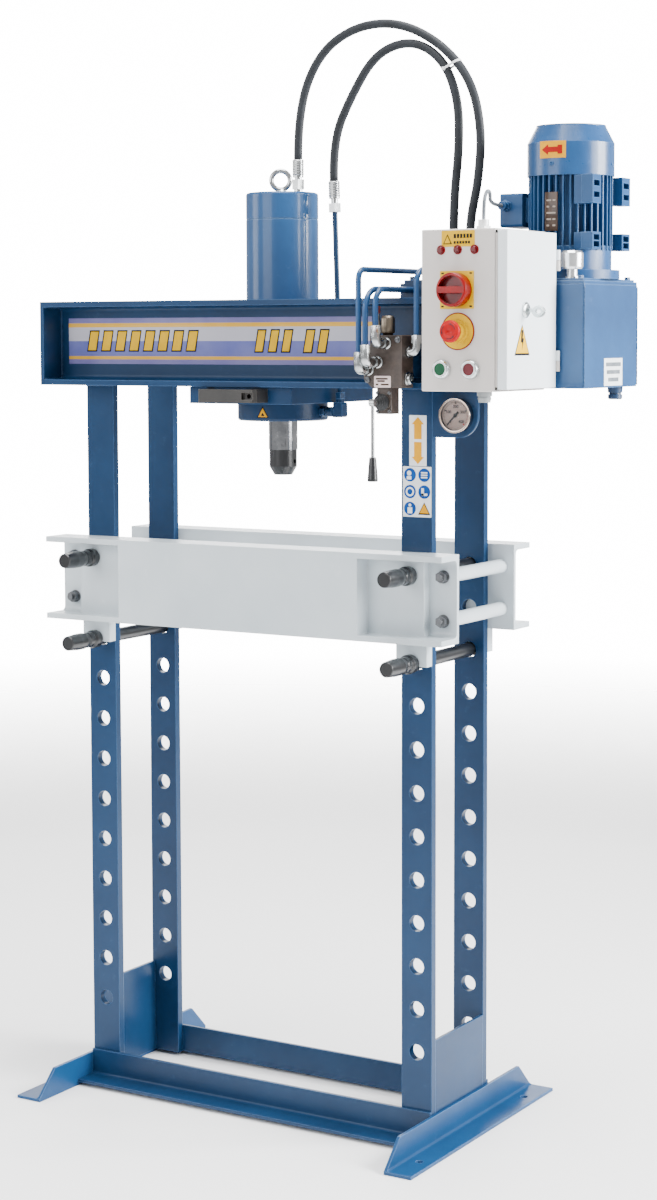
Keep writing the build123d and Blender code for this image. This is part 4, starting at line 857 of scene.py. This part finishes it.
def makeMotorSigns():
    axis, middle = motorSigns["axis"], motorSigns["arrowMiddle"]
    shape = bmesh.new()
    wrapOn(shape, axis, *motorSigns["plate"], 0.0012)
    soften(keep("motorPlate", shape, bronze), 0.0004)
    shape = bmesh.new()
    for row in range(5):
        z = motorSigns["firstBar"] + motorSigns["barPitch"] * row
        for turns in ((-98, -94 + 3 * (row % 3)), (-89, -85)):
            wrapOn(shape, axis, 0.0764, turns, (z, z + motorSigns["barTall"]), 0.0003, 4)
    keep("motorPlateBars", shape, plateInk)
    shape = bmesh.new()
    wrapOn(shape, axis, *motorSigns["arrow"], 0.0003)
    keep("arrowSign", shape, arrowYellow)
    shape = bmesh.new()
    heights = (lambda share: middle - arrowHalf(share) - 0.0002, lambda share: middle + arrowHalf(share))
    wrapOn(shape, axis, 0.0778, (-105, -76), heights, 0.0003, 50)
    keep("arrowSignMark", shape, arrowRed)


ringSign = {
    "radius": 0.086, "foot": 1.324,
    "layers": [
        # name, turns in degrees, foot, height, lift
        ("ringSignRim", (-92.0, -76.0), 0.0, 0.0215, 0.0003),
        ("ringSign", (-90.2, -77.8), 0.0014, 0.0165, 0.0005),
        ("ringSignMark", (-86.5, -81.5), 0.0034, 0.006, 0.0006),
    ],
}


def makeRingSign():
    for name, turns, foot, tall, lift in ringSign["layers"]:
        low = ringSign["foot"] + foot

        def ridge(share, low=low, tall=tall):
            return low + 0.0003 + tall * (1 - abs(2 * share - 1))

        shape = bmesh.new()
        wrapOn(shape, (0, 0), ringSign["radius"], turns, (low, ridge), lift, 24)
        keep(name, shape, arrowYellow if name == "ringSign" else labelDark, "carriage")


pinkPaper = plastic("pinkPaper", "d9c3bf", "e6d5d1", 0.4, 0.1)
bronze = plastic("bronzePlate", "2c1e17", "443124", 0.3, 0.4)
plateInk = plastic("plateInk", "8c8076", "a1958a", 0.4, 0.1)
makeBeamBand()
makeLegSigns()
makeBoxSign()
makeDoorSign()
makeValveSign()
makeTankSign()
makeMotorSigns()
makeRingSign()
print("signs laid")


gauge = {
    "centre": (0.436, -0.1175, 1.336), "radius": 0.0268, "start": 225.0, "sweep": 270.0, "marks": 40,
    "longEvery": 10, "redFrom": 33, "numbers": ["0", "100", "200", "300", "400"], "numberReach": 0.58,
    "needleFace": -0.12, "lipFace": -0.1166, "glassFace": -0.1222,
    # along and across the needle, from its pivot
    "needle": [
        (-0.0088, -0.0022), (0.0, -0.0017), (0.023, -0.0006), (0.023, 0.0006), (0.0, 0.0017),
        (-0.0088, 0.0022),
    ],
    "hub": [(0.0, 0.0037), (0.0011, 0.0037), (0.0015, 0.003), (0.0015, 0.0006)],
    "lip": [
        (0.0072, 0.0272), (0.0086, 0.0272), (0.0086, 0.0306), (0.0078, 0.0312), (0.0002, 0.0312),
        (0.0, 0.0306),
    ],
    "pane": [(0.0, 0.0271), (0.0006, 0.0271), (0.001, 0.022), (0.0013, 0.001)],
}


def dialWay(share):
    # unit direction on the dial; share runs from 0 to 1 over the sweep
    angle = math.radians(gauge["start"] - gauge["sweep"] * share)
    return Vector((math.cos(angle), math.sin(angle)))


def makeDial():
    cx, face, cz = gauge["centre"]
    size = gauge["radius"]
    profile = [(0.0, 0.0018), (0.0, size), (0.0008, size), (0.0008, 0.0018)]
    turned("gaugeDial", dialPaper, gauge["centre"], toFront, profile, 64, True, smooth=False)
    dark, red = bmesh.new(), bmesh.new()
    middle = Vector((cx, cz))
    for k in range(gauge["marks"] + 1):
        along = dialWay(k / gauge["marks"])
        long = k % gauge["longEvery"] == 0
        inner, outer = size * (0.76 if long else 0.84), size * 0.93
        side = Vector((-along.y, along.x)) * (0.0011 if long else 0.0005)
        corners = [
            middle + along * inner - side, middle + along * outer - side,
            middle + along * outer + side, middle + along * inner + side,
        ]
        flat(red if k >= gauge["redFrom"] else dark, face - 0.0008, corners, 0.0001)
    keep("gaugeMarks", dark, labelDark)
    keep("gaugeLimitMarks", red, arrowRed)


def makeNumbers():
    cx, face, cz = gauge["centre"]
    reach = gauge["radius"] * gauge["numberReach"]
    for k, words in enumerate(gauge["numbers"]):
        name = "gaugeNumber%d" % k
        along = dialWay(k / (len(gauge["numbers"]) - 1))
        text = bpy.data.curves.new(name, "FONT")
        text.body = words
        text.size = 0.0074
        text.offset = 0.0002
        text.align_x = "CENTER"
        text.align_y = "CENTER"
        text.extrude = 0.00006
        text.materials.append(labelDark)
        spot = bpy.data.objects.new(name, text)
        spot.location = (cx + along.x * reach, face - 0.0009, cz + along.y * reach)
        spot.rotation_euler = (math.pi / 2, 0, 0)
        bpy.context.collection.objects.link(spot)
        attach(spot, "frame")


def makeNeedle():
    cx, _, cz = gauge["centre"]
    along = dialWay(0.0)
    side = Vector((-along.y, along.x))
    blade = bmesh.new()
    outline = [Vector((cx, cz)) + along * a + side * b for a, b in gauge["needle"]]
    flat(blade, gauge["needleFace"], outline, 0.0008)
    turnOn(blade, (cx, gauge["needleFace"], cz), toFront, gauge["hub"], 28)
    needle = keep("needleBlade", blade, labelDark, "needle")
    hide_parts("gauge_needle")


def makeGaugeCase():
    cx, _, cz = gauge["centre"]
    lip = turned("gaugeLip", caseSteel, (cx, gauge["lipFace"], cz), toFront, gauge["lip"], 64, True)
    soften(lip, 0.0006)
    turned("gaugeGlass", glass, (cx, gauge["glassFace"], cz), toFront, gauge["pane"], 48)


def glassFinish():
    pane = Finish("gaugeGlass", Roughness=0.04, IOR=1.45, Alpha=0.05)
    smear = pane.noise(90.0, 4.0, 0.7)
    pane.feed(Base_Color=pane.blend(smear, tint("8d9496"), tint("a9b0b2")))
    pane.material.surface_render_method = "BLENDED"
    return pane.material


glass = glassFinish()
dialPaper = plastic("dialPaper", "8d7a72", "9f8b82", 0.45, 0.0)
caseSteel = metal("gaugeSteel", dict(zincLook, deep="b9a598", base="d3c3b8", scatter=0.05, roughness=0.18))
makeDial()
makeNumbers()
makeNeedle()
makeGaugeCase()
print("gauge made")


panel = {
    "face": -0.26, "lamps": (0.483, 0.515, 0.547), "lampHeight": 1.6215,
    "keys": (0.485, 0.54), "keyHeight": 1.42, "stop": (0.5155, 1.484), "switch": (0.514, 1.554),
    "lampRim": [(0.0, 0.0066), (0.0, 0.0082), (0.0012, 0.008), (0.002, 0.0066)],
    "keyRim": [
        (0.0, 0.015), (0.0, 0.0172), (0.004, 0.017), (0.0082, 0.0152), (0.0094, 0.014), (0.0094, 0.0126),
        (0.0078, 0.0118), (0.004, 0.015),
    ],
    "stopRim": [(0.0, 0.0301), (0.0, 0.0318), (0.0019, 0.0318), (0.0019, 0.0301)],
    "stopCrown": [
        (-0.0004, 0.002), (-0.0004, 0.0152), (0.0009, 0.0146), (0.0014, 0.012), (0.0008, 0.009),
        (0.0008, 0.002),
    ],
    "switchWell": [(0.0, 0.001), (0.0, 0.0237), (0.0006, 0.0237), (0.0006, 0.001)],
    "switchBar": [
        (-0.0235, -0.0052), (-0.0235, 0.0052), (0.004, 0.007), (0.0195, 0.005), (0.0228, 0.0),
        (0.0195, -0.005), (0.004, -0.007),
    ],
}


def makeRims():
    rims, silver = bmesh.new(), bmesh.new()
    for x in panel["lamps"]:
        turnOn(rims, (x, panel["face"], panel["lampHeight"]), toFront, panel["lampRim"], 32, True)
    keep("lampRims", rims, signalRed, smooth=True)
    for x in panel["keys"]:
        turnOn(silver, (x, panel["face"], panel["keyHeight"]), toFront, panel["keyRim"], 44, True)
    soften(keep("keyRims", silver, rimSteel, smooth=True), 0.0005)
    x, z = panel["stop"]
    turned("stopRim", signalRed, (x, panel["face"], z), toFront, panel["stopRim"], 64, True)


def makeSwitchTrim():
    x, z = panel["switch"]
    face = panel["face"]
    dark = bmesh.new()
    for sx, sz in ((-1, 1), (1, 1), (1, -1), (-1, -1)):
        across = sorted((x + sx * 0.0245, x + sx * 0.0295))
        heights = sorted((z + sz * 0.0265, z + sz * 0.0292))
        plate(dark, face - 0.002, across, heights, 0.0001, 0.0004)
    keep("panelMarks", dark, labelDark)
    well = (x, face - 0.0102, z)
    turned("switchWell", deepRed, well, toFront, panel["switchWell"], 48, True, "main_switch", False)
    bar = bmesh.new()
    front = [Vector((x + a, face - 0.0238, z + b * 0.78)) for a, b in panel["switchBar"]]
    back = [Vector((x + a, face - 0.0112, z + b)) for a, b in panel["switchBar"]]
    skin(bar, [back, front])
    soften(keep("switchBar", bar, signalRed, "main_switch"), 0.0012, 3)
    eye = bmesh.new()
    disc(eye, face - 0.0239, x - 0.013, z, 0.0022, 0.0002, 20)
    keep("switchEye", eye, labelDark, "main_switch")


def makeStopTrim():
    x, z = panel["stop"]
    face = panel["face"]
    crown = (x, face - 0.033, z)
    turned("stopCrown", mushroomRed, crown, toFront, panel["stopCrown"], 48, True, "emergency_stop")
    for start in (15, 135, 255):
        arc = bmesh.new()
        rings = []
        for k in range(13):
            angle = math.radians(start + 6.0 * k)
            half = 0.0009 if k < 9 else 0.0024 * (12 - k) / 4 + 0.0001       # band, then a pointed head
            near, far = 0.0128 - half, 0.0128 + half
            low, high = face - 0.0342, face - 0.0347
            rings.append([
                Vector((x + r * math.cos(angle), y, z + r * math.sin(angle)))
                for r, y in ((near, low), (far, low), (far, high), (near, high))
            ])
        skin(arc, rings)
        keep("stopArrow%d" % start, arc, keyRed, "emergency_stop")


lockKey = {
    "blade": ((0.609, -0.1912, 1.516), (0.624, -0.1888, 1.523)), "bow": (0.633, -0.19, 1.517),
    "hole": 0.0042, "reach": 0.0125, "half": 0.0013, "squash": 0.82, "rose": (0.608, -0.19, 1.52),
    "roseShape": [(0.0, 0.0138), (0.0022, 0.0138), (0.0034, 0.0118), (0.0048, 0.01), (0.005, 0.004)],
}


def makeLockKey():
    # key left standing in the door lock, and the lock's turned rose
    shape = bmesh.new()
    blockOn(shape, *lockKey["blade"])
    hole, reach, half = lockKey["hole"], lockKey["reach"], lockKey["half"]
    steps = 28
    rings = []
    for k in range(steps):
        turn = 2 * math.pi * k / steps
        out = Vector((math.cos(turn), 0, math.sin(turn) * lockKey["squash"]))
        rings.append([
            Vector(lockKey["bow"]) + out * r + Vector((0, y, 0))
            for r, y in ((hole, -half), (reach, -half), (reach, half), (hole, half))
        ])
    skin(shape, rings, closed=True)
    turnOn(shape, lockKey["rose"], toRight, lockKey["roseShape"], 32)
    soften(keep("lockKey", shape, rimSteel, "lock"), 0.0005)


coverScrews = {"height": 1.778, "reach": 0.0772, "turns": [(-90.5, 0.0042), (5.0, 0.003), (150.0, 0.0042)]}


def makeCoverScrews():
    shape = bmesh.new()
    for turn, size in coverScrews["turns"]:
        out = Vector((math.cos(math.radians(turn)), math.sin(math.radians(turn)), 0))
        place = Vector((*motorSigns["axis"], coverScrews["height"])) + out * coverScrews["reach"]
        head = [(0.0, 1.0), (0.0014, 1.0), (0.002, 0.8), (0.002, 0.4), (0.001, 0.3)]
        turnOn(shape, place, out, [(along, size * share) for along, share in head], 20)
    keep("coverScrews", shape, footBlue, smooth=True)


deepRed = plastic("deepRed", "5e1216", "7d1a1f", 0.3, 0.4)
rimSteel = metal("rimSteel", dict(zincLook, deep="c2cacb", base="e1e7e8", roughness=0.22))
makeRims()
makeSwitchTrim()
makeStopTrim()
makeLockKey()
makeCoverScrews()
print("panel trimmed")


# ribbed rubber bellows at the root of the lever
bellows = {"start": (0.345, -0.2234, 1.361), "ribs": 4, "pitch": 0.0042, "outer": 0.015, "end": 0.0066}


def makeBellows():
    profile = [(-0.0002, 0.0085)]
    ribs, pitch = bellows["ribs"], bellows["pitch"]
    for k in range(ribs * 8 + 1):
        share = k / (ribs * 8)
        broad = bellows["outer"] + (bellows["end"] - bellows["outer"]) * share ** 1.4
        ridge = 0.5 + 0.5 * math.cos(2 * math.pi * k / 8)
        profile.append((share * ribs * pitch, broad - 0.0021 * (1 - ridge) * (1.0 - 0.4 * share)))
    profile.append((ribs * pitch + 0.0008, 0.0042))
    boot = turned("leverBellows", rubber, bellows["start"], toFront, profile, body="hand_lever")
    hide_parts("lever_boot")


makeBellows()


def crimpOn(shape, start, direction, length, radius, rings=5):
    # crimped sleeve: rounded grooves pressed round a tube end
    profile = [(0.0, radius - 0.0012), (0.0006, radius)]
    for k in range(rings * 6 + 1):
        share = k / (rings * 6)
        groove = 0.0007 * (0.5 - 0.5 * math.cos(2 * math.pi * k / 6))
        profile.append((0.003 + share * (length - 0.006), radius + 0.0004 - groove))
    profile += [(length - 0.0006, radius), (length, radius - 0.0012)]
    turnOn(shape, start, direction, profile, 36)


def makeCrimps():
    shape = bmesh.new()
    crimpOn(shape, (0.036, 0, 1.7775), toSky, 0.029, 0.0103)
    foot, second = (Vector(point) for point in hoses["hose_riser"]["points"][:2])
    lean = (second - foot).normalized()
    crimpOn(shape, foot - lean * 0.029, lean, 0.0285, 0.0103)
    keep("carriageCrimps", shape, zinc, "carriage", True)


makeCrimps()


def socketOn(shape, centre, radius, depth):
    # socket-head screw seen from the front
    turnOn(shape, centre, toFront, [
        (0.0, radius), (depth, radius), (depth + 0.0005, radius * 0.93), (depth + 0.0005, radius * 0.55),
        (0.0012, radius * 0.5),
    ], 24)


valveScrews = {
    "bodyFace": -0.22, "body": [(0.376, 1.47), (0.315, 1.4)],
    "housingFace": -0.216, "across": (0.333, 0.357), "heights": (1.345, 1.377),
}


def makeValveTrim():
    dark = bmesh.new()
    for x, z in valveScrews["body"]:
        socketOn(dark, (x, valveScrews["bodyFace"], z), 0.0055, 0.0018)
    for x in valveScrews["across"]:
        for z in valveScrews["heights"]:
            socketOn(dark, (x, valveScrews["housingFace"], z), 0.003, 0.0016)
    keep("valveScrews", dark, oiled, smooth=True)


makeValveTrim()
print("valve and fittings trimmed")


# plated unions, elbows and plugs at the valve and on the beam bridge
fittings = {
    # elbow centre across, port height, riser depth
    "ports": [(0.353, 1.464, -0.258), (0.336, 1.431, -0.264), (0.318, 1.418, -0.256)],
    "face": -0.22, "middle": -0.2, "cheek": 0.384, "sideRiser": (0.402, 1.449), "plug": 1.402,
    "relief": (0.345, 1.478), "adjuster": (0.324, 1.478),
    "bridge": 1.5755, "bridgeElbow": 1.592, "hoseFeet": (0.368, 0.402),
    # turned shapes: distance along the axis, radius
    "portCollar": [(0.0, 0.0105), (0.0022, 0.0105), (0.003, 0.009), (0.008, 0.009)],
    "bridgeCollar": [(0.0, 0.0098), (0.004, 0.0098), (0.005, 0.0078), (0.0075, 0.0078)],
    "plugShape": [
        (0.0, 0.0122), (0.0022, 0.0122), (0.003, 0.0104), (0.0082, 0.0104), (0.0092, 0.009),
        (0.0092, 0.0056), (0.004, 0.005),
    ],
    "adjusterShape": [
        (0.0, 0.006), (0.0235, 0.006), (0.026, 0.0052), (0.0262, 0.0036), (0.044, 0.0036),
        (0.0445, 0.003),
    ],
    "reliefShape": [
        (0.0, 0.009), (0.003, 0.009), (0.0034, 0.0118), (0.004, 0.0122), (0.0285, 0.0122),
        (0.03, 0.0112), (0.0338, 0.01), (0.034, 0.005), (0.0325, 0.0046),
    ],
    "capShape": [(0.0, 0.0046), (0.0008, 0.0052), (0.012, 0.0052), (0.013, 0.0042)],
}


def nutOn(shape, start, direction, flats, length):
    # hexagon nut with both ends turned round
    start, direction = Vector(start), Vector(direction).normalized()
    side, up = sideAxes(direction)
    rings = []
    for along, cut in ((0.0, 0.9), (length * 0.1, 1.0), (length * 0.9, 1.0), (length, 0.9)):
        ring = []
        for k in range(24):
            turn = 2 * math.pi * k / 24
            reach = flats / 2 / math.cos((turn + math.pi / 6) % (math.pi / 3) - math.pi / 6)
            reach = min(reach, flats * 0.566 * (0.93 if cut < 1.0 else 1.0))
            ring.append(start + direction * along + (side * math.cos(turn) + up * math.sin(turn)) * reach)
        rings.append(ring)
    skin(shape, rings)


def elbowOn(shape, corner, first, second, radius, firstLength, secondLength):
    # forged elbow: two round legs that meet in a rounded heel
    corner, first, second = Vector(corner), Vector(first).normalized(), Vector(second).normalized()
    bend = radius * 1.15
    points = [corner + first * firstLength, corner + first * (firstLength + bend) / 2]
    for k in range(9):
        t = k / 8
        points.append(corner + first * bend * (1 - t) ** 2 + second * bend * t ** 2)
    points += [corner + second * (secondLength + bend) / 2, corner + second * secondLength]
    tubeOn(shape, points, radius, 28)


def flatten(piece, angle=32.0):
    # keeps sharp corners crisp on a smoothly shaded piece
    shape = bmesh.new()
    shape.from_mesh(piece.data)
    for edge in shape.edges:
        if len(edge.link_faces) == 2 and edge.calc_face_angle(0.0) > math.radians(angle):
            edge.smooth = False
    shape.to_mesh(piece.data)
    shape.free()


capRed = plastic("capRed", "5a2a28", "7b3a36", 0.4, 0.1)
cartridgeSteel = metal("cartridgeSteel", dict(zincLook, deep="6f6558", base="8d8273", roughness=0.3))


def makeFittings():
    facts = fittings
    shape = bmesh.new()
    out, up = toFront, toSky
    face = facts["face"]
    for x, z, y in facts["ports"]:
        turnOn(shape, (x, face, z), out, facts["portCollar"], 32)
        nutOn(shape, (x, face - 0.0072, z), out, 0.0185, 0.0095)
        turnOn(shape, (x, face - 0.016, z), out, [(0.0, 0.0078), (face - 0.016 - y - 0.006, 0.0078)], 28)
        elbowOn(shape, (x, y, z), toBack, up, 0.0088, 0.0125, 0.0165)
        turnOn(shape, (x, y, z + 0.0145), up, [(0.0, 0.0094), (0.0025, 0.0094)], 28)
        nutOn(shape, (x, y, z + 0.0165), up, 0.0175, 0.014)
    cheek, middle = facts["cheek"], facts["middle"]
    x, z = facts["sideRiser"]
    nutOn(shape, (cheek, middle, z), toRight, 0.0185, 0.005)
    turnOn(shape, (cheek + 0.004, middle, z), toRight, [(0.0, 0.009), (x - cheek - 0.01, 0.009)], 28)
    elbowOn(shape, (x, middle, z), toLeft, up, 0.0094, 0.011, 0.015)
    nutOn(shape, (x, middle, z + 0.0145), up, 0.0185, 0.0145)
    turnOn(shape, (cheek, middle, facts["plug"]), toRight, facts["plugShape"], 36)
    for x in facts["hoseFeet"]:
        turnOn(shape, (x, 0, facts["bridge"]), up, facts["bridgeCollar"], 28)
        nutOn(shape, (x, 0, facts["bridgeElbow"] + 0.0105), up, 0.0215, 0.015)
        turnOn(shape, (x, 0, facts["bridgeElbow"] + 0.025), up, [(0.0, 0.0072), (0.006, 0.0072)], 24)
        crimpOn(shape, (x, 0, facts["bridgeElbow"] + 0.03), up, 0.036, 0.01, 6)
    near, far = facts["hoseFeet"]
    z = facts["bridgeElbow"]
    elbowOn(shape, (near, 0, z), toLeft, up, 0.0092, 0.012, 0.0115)
    nutOn(shape, (near - 0.0115, 0, z), toLeft, 0.0175, 0.0145)
    elbowOn(shape, (far, 0, z), out, up, 0.0092, 0.012, 0.0115)
    nutOn(shape, (far, -0.0115, z), out, 0.0175, 0.0155)
    for x in (near, far):
        turnOn(shape, (x, 0, facts["bridge"] + 0.007), up, [(0.0, 0.0086), (0.01, 0.0086)], 24)
    x, z = facts["adjuster"]
    turnOn(shape, (x, middle, z), up, facts["adjusterShape"], 24)
    union = keep("plateFittings", shape, zinc, smooth=True)
    flatten(union)
    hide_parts("fixed_fittings")
    turned("reliefCartridge", cartridgeSteel, (facts["relief"][0], middle, z), up, facts["reliefShape"])
    turned("adjusterCap", capRed, (x, middle, z + 0.038), up, facts["capShape"], 24)


makeFittings()


# weld beads: rippled fillets laid along seams
def beadOn(shape, start, end, radius, seed):
    start, end = Vector(start), Vector(end)
    length = (end - start).length
    steps = max(6, int(length / 0.0022))
    points = [start.lerp(end, k / steps) for k in range(steps + 1)]

    def ripple(k):
        return 1.0 + 0.16 * math.sin(k * 1.9 + seed) + 0.08 * math.sin(k * 0.61 + 2 * seed)

    tubeOn(shape, points, radius, 8, ripple)


welds = {
    # end plates of the beam: across, depth, bead end, heights
    "endX": 0.438, "endY": 0.116, "tip": 0.1695, "heights": (1.394, 1.533),
    # columns where they meet the beam: inner and outer edge, depth, height
    "column": (0.3205, 0.3835), "columnY": 0.1085, "columnZ": 1.383,
    # corners of the tank: across, depths, heights
    "tankX": 0.6565, "tankY": (-0.0595, 0.1655), "tankZ": (1.387, 1.563),
}


def makeWelds():
    shape = bmesh.new()
    seams = []
    low, high = welds["heights"]
    for side in (-1, 1):
        x = side * welds["endX"]
        for front in (-1, 1):
            y, tip = front * welds["endY"], front * welds["tip"]
            seams.append(((x, y, low), (x, y, high), 0.003))
            seams.append(((x, y, low), (x, tip, low), 0.0026))
            seams.append(((x, y, high), (x, tip, high), 0.0026))
    inner, outer = welds["column"]
    for sx in (-1, 1):
        for sy in (-1, 1):
            y, z = sy * welds["columnY"], welds["columnZ"]
            seams.append(((sx * inner, y, z), (sx * outer, y, z), 0.0028))
    for k, (start, end, radius) in enumerate(seams):
        beadOn(shape, start, end, radius, k)
    keep("frameWelds", shape, frameBlue, smooth=True)
    shape = bmesh.new()
    low, high = welds["tankZ"]
    for k, y in enumerate(welds["tankY"]):
        beadOn(shape, (welds["tankX"], y, low), (welds["tankX"], y, high), 0.0016, k)
    keep("tankSeams", shape, frameBlue, smooth=True)


makeWelds()
print("welds laid")


studio = {
    "floor": 7.0, "fade": (2.4, 6.4), "floorTint": "ffffff", "world": 0.7, "backdrop": 16.0,
    "lamps": [
        # name, place, aim, size, power, colour
        ("rightPanel", (5.6, 0.6, 2.4), (0.3, 0.0, 1.1), 2.6, 420.0, "ffffff"),
        ("sidePanel", (2.5, 0.9, 2.2), (0.5, 0.0, 1.6), 1.0, 170.0, "ffffff"),
        ("leftPanel", (-3.0, -1.6, 2.2), (0.0, 0.0, 1.4), 1.4, 45.0, "ffffff"),
        ("frontPanel", (-1.6, -5.4, 3.2), (0.0, 0.0, 1.0), 3.4, 210.0, "fdfdff"),
        ("topPanel", (0.4, -0.4, 5.2), (0.1, 0.0, 1.0), 2.8, 400.0, "ffffff"),
        ("backPanel", (-2.5, 4.2, 3.0), (0.0, 0.0, 1.2), 2.6, 170.0, "ffffff"),
    ],
}


def makeStudio():
    shape = bmesh.new()
    turnOn(shape, (0, 0, -0.02), (0, 0, 1), [(0.0, studio["floor"]), (0.02, studio["floor"])], 96)
    paper = Finish("studioPaper", Roughness=0.8)
    cloud = paper.noise(0.6, 2.0)
    reach = paper.node("ShaderNodeVectorMath", {"operation": "LENGTH"}, {0: paper.place}, out="Value")
    paper.feed(
        Base_Color=paper.blend(cloud, tint(studio["floorTint"]), tint("fdfdfd")),
        Alpha=1.0 - paper.spread(reach, *studio["fade"]),      # the paper runs out into the white beyond
    )
    keep("studioFloor", shape, paper.material, None)
    world = bpy.data.worlds.new("studioWorld")
    world.use_nodes = True
    sky = world.node_tree
    soft = sky.nodes["Background"]
    soft.inputs["Strength"].default_value = studio["world"]
    soft.inputs["Color"].default_value = (1.0, 1.0, 1.0, 1.0)
    seen = sky.nodes.new("ShaderNodeBackground")      # the brighter white seen behind the press
    seen.inputs["Strength"].default_value = studio["backdrop"]
    seen.inputs["Color"].default_value = (1.0, 1.0, 1.0, 1.0)
    choice = sky.nodes.new("ShaderNodeMixShader")
    path = sky.nodes.new("ShaderNodeLightPath")
    sky.links.new(path.outputs["Is Camera Ray"], choice.inputs[0])
    sky.links.new(soft.outputs[0], choice.inputs[1])
    sky.links.new(seen.outputs[0], choice.inputs[2])
    sky.links.new(choice.outputs[0], sky.nodes["World Output"].inputs["Surface"])
    bpy.context.scene.world = world
    for name, place, aim, size, power, colour in studio["lamps"]:
        data = bpy.data.lights.new(name, "AREA")
        data.size = size
        data.energy = power
        data.color = tint(colour)[:3]
        lamp = bpy.data.objects.new(name, data)
        lamp.location = place
        lamp.rotation_euler = (Vector(aim) - Vector(place)).to_track_quat("-Z", "Y").to_euler()
        bpy.context.collection.objects.link(lamp)


makeStudio()
print("studio ready")
